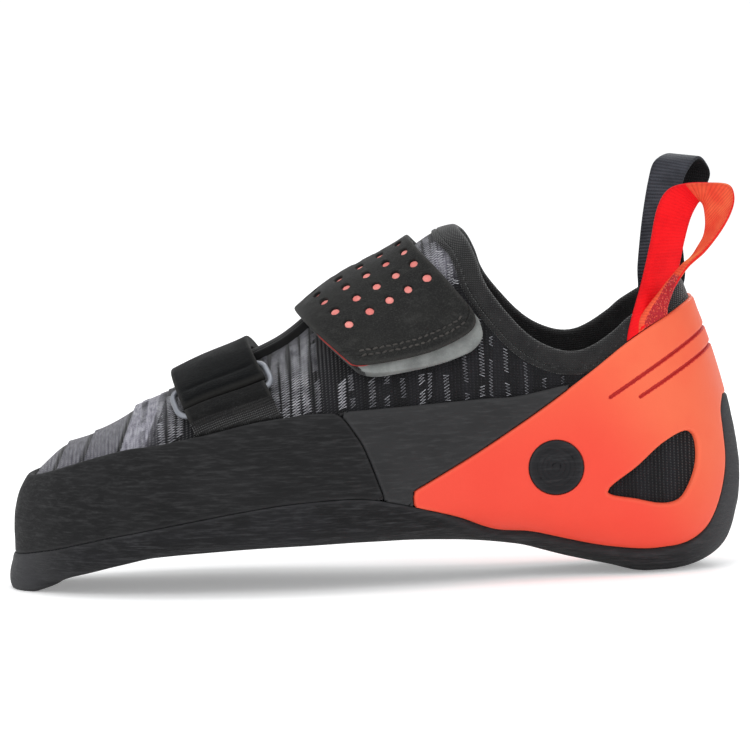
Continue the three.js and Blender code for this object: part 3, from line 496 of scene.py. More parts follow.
def make_camera():
    ahead = Vector((0, math.cos(CAMERA_RISE), -math.sin(CAMERA_RISE)))
    up = Vector((0, math.sin(CAMERA_RISE), math.cos(CAMERA_RISE)))
    right = Vector((1, 0, 0))
    rolled_right = right * math.cos(CAMERA_ROLL) - up * math.sin(CAMERA_ROLL)
    rolled_up = right * math.sin(CAMERA_ROLL) + up * math.cos(CAMERA_ROLL)
    data = bpy.data.cameras.new("camera")
    data.sensor_width = 36
    data.lens = data.sensor_width * CAMERA_AWAY / (FRAME_PIXELS * PIXEL)
    camera = bpy.data.objects.new("camera", data)
    bpy.context.scene.collection.objects.link(camera)
    turn = Matrix((rolled_right, rolled_up, -ahead)).transposed()
    place = Vector(row_place(CAMERA_TARGET)) - ahead * CAMERA_AWAY * MM
    camera.matrix_world = Matrix.Translation(place) @ turn.to_4x4()
    data.clip_start, data.clip_end = 0.05, 90
    bpy.context.scene.camera = camera


def make_light(name, place, aim, size, power):
    data = bpy.data.lights.new(name, "AREA")
    data.shape = "DISK"
    data.size = size
    data.energy = power
    light = bpy.data.objects.new(name, data)
    light.location = place
    direction = Vector(aim) - Vector(place)
    light.rotation_mode = "QUATERNION"
    light.rotation_quaternion = direction.to_track_quat("-Z", "Y")
    bpy.context.scene.collection.objects.link(light)


def make_studio():
    make_light("key", (-0.55, -1.1, 1.25), (0, 0, 0.06), 0.9, 6.5)
    make_light("fill", (0.9, -1.3, 0.5), (0, 0, 0.06), 1.2, 2.5)
    make_light("back", (0.3, 1.2, 1.0), (0, 0, 0.06), 0.9, 4)
    make_light("top", (0.05, 0.0, 1.5), (0, 0, 0.06), 1.0, 4)
    world = bpy.data.worlds.new("studio")
    world.use_nodes = True
    sky = world.node_tree.nodes["Background"]
    sky.inputs["Color"].default_value = (0.98, 0.99, 1.0, 1)
    sky.inputs["Strength"].default_value = 0.82
    bpy.context.scene.world = world
    verts = [(-40, -40, 0), (40, -40, 0), (40, 40, 0), (-40, 40, 0)]
    mesh = bpy.data.meshes.new("floor")
    mesh.from_pydata(verts, [], [(0, 1, 2, 3)])
    floor = bpy.data.objects.new("floor", mesh)
    bpy.context.scene.collection.objects.link(floor)
    material = bpy.data.materials.new("floor")
    material.use_nodes = True
    shader = material.node_tree.nodes["Principled BSDF"]
    shader.inputs["Base Color"].default_value = (0.96, 0.96, 0.96, 1)
    shader.inputs["Roughness"].default_value = 0.9
    shader.inputs["Specular IOR Level"].default_value = 0.1
    shader.inputs["Emission Color"].default_value = (1, 1, 1, 1)
    shader.inputs["Emission Strength"].default_value = 0.26
    mesh.materials.append(material)


# Materials
def srgb(red, green, blue):
    """A colour given as it looks on a screen, 0 to 255, as linear light."""
    out = []
    for c in (red, green, blue):
        c = c / 255
        out.append(c / 12.92 if c <= 0.04045 else ((c + 0.055) / 1.055) ** 2.4)
    return (*out, 1)


def shade_of(colour, factor):
    """A colour with its light multiplied."""
    return tuple(min(1, c * factor) for c in colour[:3]) + (1,)


EVEN = (1, 1, 1)


class Surface:
    """A node material under construction. Lengths in its textures are in millimetres."""

    def __init__(self, name, roughness, specular, metallic=0.0, sheen=0.0):
        self.material = bpy.data.materials.new(name)
        self.material.use_nodes = True
        self.tree = self.material.node_tree
        self.shader = self.tree.nodes["Principled BSDF"]
        values = {
            "Roughness": roughness,
            "Specular IOR Level": specular,
            "Metallic": metallic,
            "Sheen Weight": sheen,
            "Sheen Roughness": 0.4,
        }
        for key, value in values.items():
            self.shader.inputs[key].default_value = value
        self.where = self.tree.nodes.new("ShaderNodeTexCoord")

    def node(self, kind, inputs=(), **settings):
        made = self.tree.nodes.new(kind)
        for key, value in settings.items():
            setattr(made, key, value)
        for key, value in dict(inputs).items():
            if isinstance(value, bpy.types.NodeSocket):
                self.tree.links.new(value, made.inputs[key])
            else:
                made.inputs[key].default_value = value
        return made

    def place(self, stretch=EVEN, space="Object"):
        """Coordinates in millimetres, each divided by its stretch."""
        scale = [1000 / s if space == "Object" else 1 / s for s in stretch]
        where = {"Vector": self.where.outputs[space], "Scale": scale}
        return self.node("ShaderNodeMapping", where).outputs["Vector"]

    def along(self, axis):
        """The place along one axis in millimetres."""
        return self.node("ShaderNodeSeparateXYZ", {"Vector": self.place()}).outputs[axis]

    def noise(self, size, stretch=EVEN, detail=3, rough=0.55, space="Object"):
        """Noise from 0 to 1 with grains of about this size."""
        where = self.place([s * size for s in stretch], space)
        inputs = {"Vector": where, "Scale": 1.0, "Detail": detail, "Roughness": rough}
        return self.node("ShaderNodeTexNoise", inputs).outputs["Fac"]

    def wave(self, pitch, axis, distortion, detail=0.0):
        """Stripes from 0 to 1 at this pitch across an axis of the piece's own surface."""
        where = self.place(space="UV")
        scale = math.pi / (10 * pitch)
        inputs = {"Vector": where, "Scale": scale, "Distortion": distortion, "Detail": detail}
        return self.node("ShaderNodeTexWave", inputs, wave_type="BANDS", bands_direction=axis).outputs["Fac"]

    def cells(self, scale, stretch=EVEN, random=1.0, feature="F1"):
        """Distances in a net of cells."""
        inputs = {"Vector": self.place(stretch), "Scale": scale, "Randomness": random}
        return self.node("ShaderNodeTexVoronoi", inputs, feature=feature).outputs["Distance"]

    def math(self, operation, a, b=0.0):
        return self.node("ShaderNodeMath", {0: a, 1: b}, operation=operation).outputs[0]

    def ramp(self, value, low, high, to_low=0.0, to_high=1.0):
        """A value's range mapped smoothly on another."""
        inputs = {"Value": value, "From Min": low, "From Max": high, "To Min": to_low, "To Max": to_high}
        return self.node("ShaderNodeMapRange", inputs, interpolation_type="SMOOTHSTEP").outputs["Result"]

    def blend(self, share, a, b):
        """A colour, with another over it by a share."""
        return self.node("ShaderNodeMix", {0: share, 6: a, 7: b}, data_type="RGBA").outputs[2]

    def attribute(self, name):
        return self.node("ShaderNodeAttribute", attribute_name=name).outputs["Fac"]

    def finish(self, colour, bumps, roughness=None):
        """Connects the colour, the relief (value, height in mm) and the roughness."""
        joined_to = {"Base Color": colour}
        if roughness is not None:
            joined_to["Roughness"] = roughness
        for value, height in bumps:
            bump = self.node("ShaderNodeBump", {"Height": value, "Distance": height * MM, "Strength": 1.0})
            if "Normal" in joined_to:
                self.tree.links.new(joined_to["Normal"], bump.inputs["Normal"])
            joined_to["Normal"] = bump.outputs["Normal"]
        for key, socket in joined_to.items():
            self.tree.links.new(socket, self.shader.inputs[key])
        return self.material


def edge_of(surface, strength):
    """How near a point is to a piece's edge, 1 on it, from the mesh's own edge distance."""
    return surface.ramp(surface.attribute("edge"), 0.0, 1.6, strength, 0.0)


def rubber_material(name, dark, light, streak, scuff, worn_ends=0.0):
    """Sanded rubber; worn_ends is how pale it gets at the toe's and the heel's end."""
    s = Surface(name, 0.68, 0.12)
    mottled = s.noise(9, (2.2, 1, 1), 4)
    sanded = s.noise(1.1, (7, 3, 1), 4, 0.65)
    fine = s.noise(0.35, (3, 1, 1), 2)
    lines = s.noise(0.8, (14, 14, 1), 4, 0.7)
    colour = s.blend(s.ramp(mottled, 0.3, 0.7), dark, light)
    colour = s.blend(s.ramp(lines, 0.5, 0.72, 0, streak), colour, scuff)
    colour = s.blend(s.ramp(sanded, 0.45, 0.75, 0, 0.45), colour, scuff)
    colour = s.blend(edge_of(s, 0.3), colour, scuff)
    if worn_ends:
        ends = s.ramp(s.math("ABSOLUTE", s.along("X")), 98, 124, 0, worn_ends)
        colour = s.blend(s.math("MULTIPLY", ends, s.ramp(mottled, 0.2, 0.6, 0.6, 1)), colour, scuff)
    rough = s.ramp(mottled, 0.25, 0.75, 0.56, 0.78)
    return s.finish(colour, [(sanded, streak * 0.6), (lines, streak), (fine, 0.05), (mottled, 0.25)], rough)


def coral_material():
    s = Surface("coral_rubber", 0.46, 0.25)
    height = s.math("ADD", s.along("Z"), s.ramp(s.along("X"), 70, 115, 0, 45))
    cloud = s.noise(22)
    grain = s.noise(0.55, EVEN, 2)
    rise = s.ramp(s.math("ADD", height, s.math("MULTIPLY", cloud, 14.0)), 45, 100)
    colour = s.blend(rise, srgb(225, 70, 51), srgb(227, 100, 66))
    colour = s.blend(s.ramp(cloud, 0.4, 0.75, 0, 0.25), colour, srgb(220, 62, 48))
    colour = s.blend(edge_of(s, 0.3), colour, srgb(240, 112, 80))
    rough = s.ramp(cloud, 0.3, 0.7, 0.4, 0.55)
    return s.finish(colour, [(grain, 0.035), (s.noise(3.0), 0.06)], rough)


def groove_material():
    s = Surface("groove_red", 0.6, 0.3)
    cloud = s.noise(2.5)
    return s.finish(s.blend(cloud, srgb(176, 34, 32), srgb(202, 52, 44)), [(s.noise(0.5), 0.04)])


def knit_material():
    s = Surface("knit", 0.85, 0.25, sheen=0.25)
    columns = s.wave(1.25, "X", distortion=0.35)
    courses = s.wave(0.95, "Y", distortion=0.5)
    loops = s.math("MULTIPLY", columns, courses)
    broad = s.wave(9.5, "X", distortion=2.2, detail=1.0)
    melange = s.noise(1.3, (0.7, 3.2, 1), 3, 0.7, "UV")
    tone = s.attribute("tone")
    dark = s.blend(s.ramp(broad, 0.2, 0.9), srgb(14, 14, 17), srgb(25, 25, 29))
    dark = s.blend(s.ramp(melange, 0.52, 0.72, 0, 0.4), dark, srgb(47, 47, 54))
    light = s.blend(s.ramp(melange, 0.3, 0.7), srgb(108, 106, 118), srgb(170, 169, 178))
    colour = s.blend(tone, dark, light)
    shade = s.math("MULTIPLY", s.ramp(loops, 0.0, 0.5, 0.55, 0.0), s.ramp(tone, 0.0, 1.0, 1.0, 0.35))
    colour = s.blend(shade, colour, srgb(9, 9, 11))
    return s.finish(colour, [(loops, 0.28), (columns, 0.12), (melange, 0.08)])


def yarn_material():
    s = Surface("pale_yarn", 0.8, 0.3, sheen=0.2)
    fade = s.noise(6, EVEN, 3, 0.7)
    twist = s.noise(0.3, EVEN, 1)
    dim = s.blend(s.ramp(fade, 0.35, 0.65), srgb(44, 44, 50), srgb(84, 84, 90))
    bright = s.blend(s.ramp(fade, 0.3, 0.6), srgb(136, 136, 142), srgb(206, 206, 212))
    colour = s.blend(s.attribute("tone"), dim, bright)
    colour = s.blend(s.ramp(twist, 0.3, 0.6, 0.35, 0), colour, srgb(50, 50, 56))
    return s.finish(colour, [(twist, 0.06)])


def woven_material(name, dark, light, pitch, depth=0.3, roughness=0.8, sheen=0.15, specks=0.0):
    """A close weave or rib across the piece."""
    s = Surface(name, roughness, 0.3, sheen=sheen)
    rows = s.wave(pitch, "Y", distortion=0.4)
    warp = s.wave(pitch * 0.8, "X", distortion=0.4)
    weave = s.math("MULTIPLY", rows, warp)
    cloud = s.noise(5, EVEN, 4)
    colour = s.blend(s.ramp(cloud, 0.3, 0.7), dark, light)
    colour = s.blend(s.ramp(weave, 0.0, 0.4, 0.5, 0.0), colour, shade_of(dark, 0.25))
    if specks:
        grains = s.noise(0.7, EVEN, 2, 0.7)
        colour = s.blend(s.ramp(grains, 0.62, 0.78, 0, specks), colour, srgb(120, 120, 124))
    return s.finish(colour, [(weave, depth), (cloud, 0.1)])


def leather_material(name, dark, light, specular=0.14):
    s = Surface(name, 0.62, specular, sheen=0.03)
    cells = s.cells(1.1, feature="DISTANCE_TO_EDGE")
    cloud = s.noise(10, EVEN, 4)
    nap = s.noise(0.55, EVEN, 3, 0.7)
    rubbed = s.noise(2.4, (2.5, 1, 1), 4, 0.7)
    colour = s.blend(s.ramp(cloud, 0.3, 0.7), dark, light)
    rub = shade_of(light, 3.6)
    colour = s.blend(s.ramp(nap, 0.45, 0.75, 0, 0.5), colour, rub)
    colour = s.blend(s.ramp(rubbed, 0.5, 0.75, 0, 0.35), colour, rub)
    colour = s.blend(s.ramp(nap, 0.2, 0.45, 0.4, 0), colour, srgb(10, 10, 10))
    # Painted highlight: the leather is paler along its edges.
    colour = s.blend(edge_of(s, 0.35), colour, srgb(66, 65, 63))
    grain = s.ramp(cells, 0.0, 0.12)
    rough = s.ramp(cloud, 0.3, 0.7, 0.52, 0.7)
    return s.finish(colour, [(grain, 0.06), (nap, 0.1), (rubbed, 0.12), (cloud, 0.25)], rough)


def felt_material(name, dark, light, depth=0.08, roughness=0.8):
    s = Surface(name, roughness, 0.3, sheen=0.1)
    cloud = s.noise(6, EVEN, 4)
    nap = s.noise(0.45, EVEN, 3, 0.7)
    colour = s.blend(s.ramp(cloud, 0.3, 0.7), dark, light)
    colour = s.blend(s.ramp(nap, 0.5, 0.8, 0, 0.3), colour, shade_of(light, 1.8))
    return s.finish(colour, [(nap, depth), (cloud, 0.2)])


def wire_material():
    s = Surface("wire", 0.36, 0.5, metallic=0.35)
    cloud = s.noise(3)
    scratch = s.noise(0.4, (6, 1, 1), 3)
    colour = s.blend(cloud, srgb(112, 115, 122), srgb(146, 149, 156))
    return s.finish(colour, [(scratch, 0.015)], s.ramp(cloud, 0.3, 0.7, 0.26, 0.44))


# Meshes
def make_object(name, points, faces, materials, uv=None, values=(), material_index=None, sharp=42):
    mesh = bpy.data.meshes.new(name)
    mesh.from_pydata(row_place(points).tolist(), [], [list(map(int, f)) for f in faces])
    mesh.update()
    made = bpy.data.objects.new(name, mesh)
    bpy.context.scene.collection.objects.link(made)
    for material in materials if isinstance(materials, (list, tuple)) else [materials]:
        mesh.materials.append(material)
    if material_index is not None:
        mesh.polygons.foreach_set("material_index", np.asarray(material_index, np.int32))
    if uv is not None:
        corners = np.zeros(len(mesh.loops), np.int32)
        mesh.loops.foreach_get("vertex_index", corners)
        layer = mesh.uv_layers.new(name="UVMap")
        layer.data.foreach_set("uv", np.asarray(uv, np.float32)[corners].ravel())
    for key, value in dict(values).items():
        attribute = mesh.attributes.new(key, "FLOAT", "POINT")
        attribute.data.foreach_set("value", np.asarray(value, np.float32))
    mesh.polygons.foreach_set("use_smooth", np.ones(len(mesh.polygons), bool))
    mesh.set_sharp_from_angle(angle=math.radians(sharp))
    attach(made, "root")
    return made


def bead(distance, radius):
    """A quarter round from 0 at an edge to 1 at a radius in from it."""
    return np.sqrt(1 - (1 - np.clip(distance / radius, 0, 1)) ** 2)


ROUND_STEPS = (0.04, 0.16, 0.4, 0.7, 1.0)


def rounded(patch, field, radius):
    """The patch cut along lines close enough together for a rounded edge of this radius."""
    return patch.split(field, *(radius * share for share in ROUND_STEPS))


def shell(patch, outer, inner, index=None, extra=()):
    """A closed piece between two heights above a patch."""
    n = len(patch["point"])
    outer, inner = np.broadcast_to(outer, n), np.broadcast_to(inner, n)
    top = patch["point"] + patch["normal"] * outer[:, None]
    under = patch["point"] + patch["normal"] * inner[:, None]
    f = patch.faces
    directed = np.concatenate([f[:, [0, 1]], f[:, [1, 2]], f[:, [2, 0]]])
    owner = np.tile(np.arange(len(f)), 3)
    code = directed[:, 0] * n + directed[:, 1]
    back = directed[:, 1] * n + directed[:, 0]
    rim = ~np.isin(code, back)
    a, b = directed[rim].T
    walls = np.concatenate([np.stack([b, a, a + n], 1), np.stack([b, a + n, b + n], 1)])
    faces = np.concatenate([f, f[:, ::-1] + n, walls])
    if index is not None:
        index = np.concatenate([index, index, index[owner[rim]], index[owner[rim]]])
    points = np.concatenate([top, under])
    uv = np.tile(np.stack([patch["across"], patch["down"]], 1), (2, 1))
    values = {key: np.tile(patch[key], 2) for key in ("edge", *extra)}
    return points, faces, uv, values, index


def make_shell(name, patch, outer, inner, materials, node=None, index=None, floor=False, extra=()):
    """A shell as a visible piece; the node that it stands for, if any, is hidden."""
    points, faces, uv, values, index = shell(patch, outer, inner, index, extra)
    if floor:
        x = points[:, 0]
        rise = TOE_RISE * np.maximum(0, x - TOE_FLAT) * ease((TOE_RISE_END - x) / 6)
        points[:, 2] = np.maximum(points[:, 2], rise)
    made = make_object(name, points, faces, materials, uv, values, index)
    if node:
        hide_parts(node)
    return made


def tube(path, normals, radius, sides=10, closed=False, flat=1.0):
    """Points and faces of a tube along a path; flat is its height over its width."""
    p = np.asarray(path, float)
    if closed:
        along = unit(np.roll(p, -1, 0) - np.roll(p, 1, 0))
    else:
        along = unit(np.gradient(p, axis=0))
    across = unit(np.cross(along, normals))
    up = unit(np.cross(across, along))
    turn = 2 * math.pi * (np.arange(sides) + 0.5) / sides
    ring = across[:, None] * np.cos(turn)[None, :, None] + up[:, None] * flat * np.sin(turn)[None, :, None]
    points = (p[:, None] + ring * radius).reshape(-1, 3)
    n = len(p)
    faces = []
    for i in range(n if closed else n - 1):
        j = (i + 1) % n
        for s in range(sides):
            t = (s + 1) % sides
            faces.append((i * sides + s, i * sides + t, j * sides + t, j * sides + s))
    if not closed:
        faces.append(tuple(range(sides)))
        faces.append(tuple((n - 1) * sides + s for s in reversed(range(sides))))
    return points, faces


def joined(parts):
    """Several (points, faces) as one."""
    points, faces, start = [], [], 0
    for p, f in parts:
        points.append(p)
        faces += [tuple(i + start for i in face) for face in f]
        start += len(p)
    return np.concatenate(points), faces


# Values of the fine last that the pieces are cut by
def on_skin(patch, height):
    p = patch["point"] + patch["normal"] * height
    return p[:, 0], p[:, 1], p[:, 2]


def lay_out_last():
    patch = build_last()
    x, y, z = on_skin(patch, SIDE_BUILD)
    mx, my, mz = on_skin(patch, 1.0)
    bottom = belly_of(share_of(patch["point"][:, 0])) - patch["point"][:, 2]
    return patch.with_values(
        across=patch["point"][:, 0],
        sole=inside(SOLE_REGION, x, z),
        toe=inside(TOE_REGION, x, z),
        heel=inside(HEEL_REGION, x, z),
        panel=inside(PANEL_REGION, x, z),
        tear=np.where(np.abs(y) > 4, inside(TEARDROP, x, z), -50.0),
        collar=-inside(COLLAR_REGION, mx, mz - COLLAR_TILT * my),
        bed=np.minimum(patch["inset"], bottom),
        side=y,
    )


# The knit at the toe lies in overlapping folds: (place of the front edge, height, length behind it)
TOE_FOLDS = (
    (-107.0, 0.5, 6.0), (-100.4, 0.8, 8.0), (-92.6, 0.65, 8.0), (-81.0, 1.15, 9.0), (-72.0, 0.6, 7.0),
)
# How far ahead of a fold its painted shadow is full, and how far it reaches
FOLD_SHADE = (1.6, 2.4)


def lean_of(x, z):
    """Place along the folds, which lean back as they rise."""
    return x + 0.4 * (55 - z)


def fold_height(x, z):
    """How far the folds stand up."""
    rise = np.zeros(len(x))
    for start, height, length in TOE_FOLDS:
        back = (lean_of(x, z) - start) / length
        rise += height * np.where(back < 0, 0, np.exp(-2.2 * back))
    return rise


def make_upper(last):
    patch = last.above("collar", BINDING_WIDTH - 3)
    patch = patch.with_values(open=-np.minimum(patch["inset"] - FLOOR_MARGIN, patch["bed"] * 4)).above("open")
    x, y, z = patch["point"].T
    patch = patch.with_values(lean=lean_of(x, z))
    for start, _, _ in TOE_FOLDS:
        patch = patch.split("lean", start, start - 0.12, start - FOLD_SHADE[0], start - FOLD_SHADE[1])
    x, y, z = patch["point"].T
    patch = patch.with_values(tone=knit_tone(x, y, z, patch["lean"]), edge=np.full(len(x), 9.0))
    rise = fold_height(x, z) * ease((z - 30) / 12)
    make_shell("upper_knit", patch, UPPER_WALL + rise, 0.0, knit_material(), "upper", extra=("tone",))


def knit_tone(x, y, z, lean):
    """How pale the knit is: pale at the toe's folds, a pale patch below the collar's front, and a painted
    shadow just ahead of each fold.
    """
    toe = ease((-66 - lean) / 14) * 0.5
    band = ease((lean + 81) / 0.3) * ease((-72 - lean) / 0.3) * 1.3
    front = 0.85 * ease(1 - np.hypot((x - 25) / 8.5, (z - 106) / 9.5)) * (y < 14)
    tone = np.maximum(np.maximum(toe, band), front)
    # Painted shadow: the knit is darkened just ahead of each fold's front edge.
    for start, height, _ in TOE_FOLDS:
        deepest, furthest = FOLD_SHADE
        shade = ease((lean - start + furthest) / (furthest - deepest)) * (lean < start - 0.01)
        tone = tone * (1 - min(1, height * 1.2) * shade)
    return np.clip(tone, 0, 1.3)


def make_binding(last):
    patch = last.above("collar")
    patch = patch.with_values(lower=BINDING_WIDTH - patch["collar"]).above("lower")
    patch = rounded(patch, "collar", UPPER_WALL / 2 + BINDING_STEP)
    patch = rounded(patch, "lower", 0.8)
    seam_at, seam_half = 1.85, 0.35
    patch = patch.split("lower", seam_at - seam_half, seam_at, seam_at + seam_half)
    half = UPPER_WALL / 2 + BINDING_STEP
    seam = 0.4 * np.clip(1 - np.abs(patch["lower"] - seam_at) / seam_half, 0, 1)
    swell = half * bead(patch["collar"], half)
    lower = mix(0.55, 1, bead(patch["lower"], 0.8))
    patch.values["edge"] = np.minimum(patch["collar"], 5)
    binding = woven_material("binding", srgb(24, 24, 25), srgb(38, 38, 38), 0.75, 0.22, 0.85, 0.3, 0.3)
    middle = UPPER_WALL / 2
    top, under = middle + swell * lower - seam, middle - swell * lower
    make_shell("collar_binding_tape", patch, top, under, binding, "collar_binding")


def make_insole(last):
    patch = last.with_values(bedding=np.minimum(last["inset"] - BED_MARGIN, last["bed"] * 4)).above("bedding")
    patch = rounded(patch, "bedding", 0.8)
    patch = patch.with_values(plug=patch["inset"] - FLOOR_MARGIN - GAP)
    patch = patch.split("plug", 0.0, 0.2)
    patch.values["edge"] = patch["bedding"]
    under = mix(-GAP, UPPER_WALL - 0.1, np.clip(patch["plug"] / 0.2, 0, 1))
    top = -GAP - (INSOLE_WALL - GAP) * bead(patch["bedding"], 0.8) - 0.02
    fabric = woven_material("insole_cloth", srgb(26, 26, 28), srgb(40, 40, 43), 0.8, 0.12)
    make_shell("insole_bed", patch, under, top, fabric, "insole")


def rubber_waves(x, y, z, amount):
    """Sanded rubber: shallow waves that run along the shoe."""
    lift = z + 1.6 * np.sin(x / 17) + 0.9 * np.sin(x / 6.3 + 1.3) + 0.5 * np.sin(y / 5)
    fine = 0.5 * np.sin(lift / 0.95)
    broad = 0.35 * np.sin(lift / 1.7 + np.sin(x / 11))
    cross = 0.4 * np.sin(x / 7 + z / 4)
    return amount * (fine + broad + cross)


def make_outsole(last):
    patch = rounded(last.above("sole"), "sole", 1.3)
    x, y, z = patch["point"].T
    nx, _, nz = patch["normal"].T
    u = share_of(x)
    toe = ease(-nx * 1.4) * ease((0.2 - u) / 0.15) * ease((TOE_FLARE - z) / TOE_FLARE)
    side = mix(SOLE_SIDE, SOLE_TOE, toe)
    wall = mix(side, SOLE_WALL, ease((-nz - 0.25) / 0.6))
    wall = wall + TOE_FOOT * np.maximum(0, -nx) * np.maximum(0, -nz) * ease((0.1 - u) / 0.08)
    patch.values["edge"] = patch["sole"]
    waves = rubber_waves(x, y, z, mix(0.04, 0.16, ease((10 - x) / 60))) * ease(patch["sole"] / 3)
    rim = mix(0.7, 1, bead(patch["sole"], 1.3))
    rubber = rubber_material("sole_rubber", srgb(23, 23, 24), srgb(32, 32, 34), 0.5, srgb(66, 66, 68), 0.75)
    height = RAND_BED + wall * rim + waves
    make_shell("outsole_rubber", patch, height, RAND_BED - 0.1, rubber, "outsole", floor=True)


def rand_height(patch, radius=0.9):
    """Height of a rand's face: rounded at its edge, less where it meets the sole."""
    at_edge = np.where(-patch["sole"] - SEAM < patch["edge"] + 0.01, 0.72, 0.3)
    return RAND_BED + RAND_WALL * mix(at_edge, 1, bead(patch["edge"], radius))


def make_toe_rand(last):
    patch = last.with_values(edge=np.minimum(last["toe"], -last["sole"] - SEAM)).above("edge")
    patch = rounded(patch, "edge", 0.9)
    rubber = rubber_material("rand_rubber", srgb(22, 22, 23), srgb(32, 32, 33), 0.36, srgb(62, 62, 63))
    x, y, z = patch["point"].T
    waves = rubber_waves(x, y, z, 0.05) * ease(patch["edge"] / 3)
    make_shell("toe_rand_rubber", patch, rand_height(patch) + waves, RAND_BED, rubber, "toe_rand")


def make_panels(last):
    rubber = rubber_material("panel_rubber", srgb(40, 40, 41), srgb(48, 48, 49), 0.08, srgb(66, 66, 67))
    covers = [-last[name] - SEAM for name in ("toe", "heel", "sole")]
    field = np.minimum.reduce([last["panel"], *covers])
    for node, sign in (("side_panel_outer", -1), ("side_panel_inner", 1)):
        patch = last.with_values(edge=np.minimum(field, sign * last["side"])).above("edge")
        patch = rounded(patch, "edge", 0.9)
        make_shell(node + "_rubber", patch, rand_height(patch), RAND_BED, rubber, node)


def from_line(x, z, line):
    """Distances above a straight line and back from its front end."""
    (x0, z0), (x1, z1) = [(float(along_x(u)), float(h * local_height(u))) for u, h in line]
    size = math.hypot(x1 - x0, z1 - z0)
    ex, ez = (x1 - x0) / size, (z1 - z0) / size
    return (z - z0) * ex - (x - x0) * ez, (x - x0) * ex + (z - z0) * ez


DOT_CENTRE = (float(along_x(DOT[0])), float(DOT[1] * local_height(DOT[0])))


def make_heel_rand(last):
    patch = last.with_values(edge=np.minimum.reduce([last["heel"], -last["sole"] - SEAM, -last["tear"]]))
    patch = rounded(patch.above("edge"), "edge", 1.0)
    x, y, z = on_skin(patch, SIDE_BUILD)
    dot = np.where(y < 0, np.hypot(x - DOT_CENTRE[0], z - DOT_CENTRE[1]) - DOT_RADIUS, 50.0)
    patch = patch.with_values(dot=dot).split("dot", 0.6, 0.25, 0.0, -0.15)
    for line in GROOVES:
        x, y, z = on_skin(patch, SIDE_BUILD)
        above, back = from_line(x, z, line)
        patch = patch.with_values(above=above, back=back)
        patch = patch.split("above", -1.1, -0.85, -0.55, -0.25, 0.25, 0.55, 0.85, 1.1)
        patch = patch.split("back", -1.0, -0.5, 0.0)
    x, y, z = on_skin(patch, SIDE_BUILD)
    rows = [from_line(x, z, line) for line in GROOVES]
    groove = np.minimum(*[np.hypot(above, np.minimum(back, 0)) for above, back in rows])
    patch = patch.with_values(groove=groove)
    cut = GROOVE_DEPTH * (1 - bead(patch["groove"] - 0.25, 0.85))
    well = DOT_DEPTH * ease(-patch["dot"] / 0.15) + 0.3 * ease((0.6 - patch["dot"]) / 0.6)
    index = (patch.mean("groove") < 0.7).astype(int)
    height = rand_height(patch, 1.0) - np.maximum(cut, well)
    rubber = [coral_material(), groove_material()]
    make_shell("heel_rand_rubber", patch, height, RAND_BED, rubber, "heel_rand", index=index)


DOT_RINGS = (1.6, 3.2, 4.8, 6.4)


def make_dot(last):
    x, y, z = on_skin(last, SIDE_BUILD)
    radius = np.hypot(x - DOT_CENTRE[0], z - DOT_CENTRE[1])
    edge = np.where(y < 0, DOT_RADIUS - GAP - radius, -50.0)
    patch = rounded(last.with_values(radius=radius, edge=edge).above("edge"), "edge", 0.5)
    for level in DOT_RINGS:
        patch = patch.split("radius", level - 0.35, level - 0.12, level + 0.12, level + 0.35)
    ridge = np.zeros(len(patch["radius"]))
    for level in DOT_RINGS:
        ridge = np.maximum(ridge, 1 - bead(np.abs(patch["radius"] - level) - 0.05, 0.34))
    rubber = rubber_material("dot_rubber", srgb(26, 26, 28), srgb(34, 34, 36), 0.08, srgb(60, 60, 62))
    top = SIDE_BUILD - 0.2 - 0.5 * ridge - 0.35 * (1 - bead(patch["edge"], 0.5))
    make_shell("grip_dot_rubber", patch, top, SIDE_BUILD - DOT_DEPTH + 0.02, rubber, "grip_dot")


# Straps and strands are wound on the last. A plane holds Y and leans back by slant for each millimetre
# of fall; b is the distance from the ridge in it, outer side positive.
WRAP_FINE = 120
WRAP_LOW = 0.5


def wind(u, slant, b):
    """Points and normals of the last for columns (u, slant) and distances b, one row of them per column."""
    u = np.asarray(u, float)
    slant = np.broadcast_to(slant, u.shape)
    b = np.asarray(b, float)
    points, normals = np.zeros(b.shape + (3,)), np.zeros(b.shape + (3,))
    height, start = top_of(u)[:, None], along_x(u)[:, None]
    v = np.linspace(1, WRAP_LOW, WRAP_FINE + 1)[None]
    for side in (1, -1):
        x = np.repeat(start, WRAP_FINE + 1, 1)
        for _ in range(40):
            line = side_surface(x, v, side)
            x = mix(x, start + slant[:, None] * (height - line[..., 2]), 0.6)
        line = side_surface(x, v, side)
        length = np.cumsum(np.linalg.norm(np.diff(line, axis=1, prepend=line[:, :1]), axis=2), 1)
        at_x, at_v = np.zeros(b.shape), np.zeros(b.shape)
        for k in range(len(u)):
            at_x[k] = np.interp(np.abs(b[k]), length[k], x[k])
            at_v[k] = np.interp(np.abs(b[k]), length[k], v[0])
        here = side_surface(at_x, at_v, side)
        held = np.minimum(at_v, 0.995)
        along = side_surface(at_x + 0.4, held, side) - side_surface(at_x - 0.4, held, side)
        up = side_surface(at_x, np.minimum(1, held + 0.004), side) - side_surface(at_x, held - 0.004, side)
        normal = unit(np.cross(along, up) * side)
        mine = (b >= 0) if side > 0 else (b < 0)
        points[mine], normals[mine] = here[mine], normal[mine]
    return points, normals


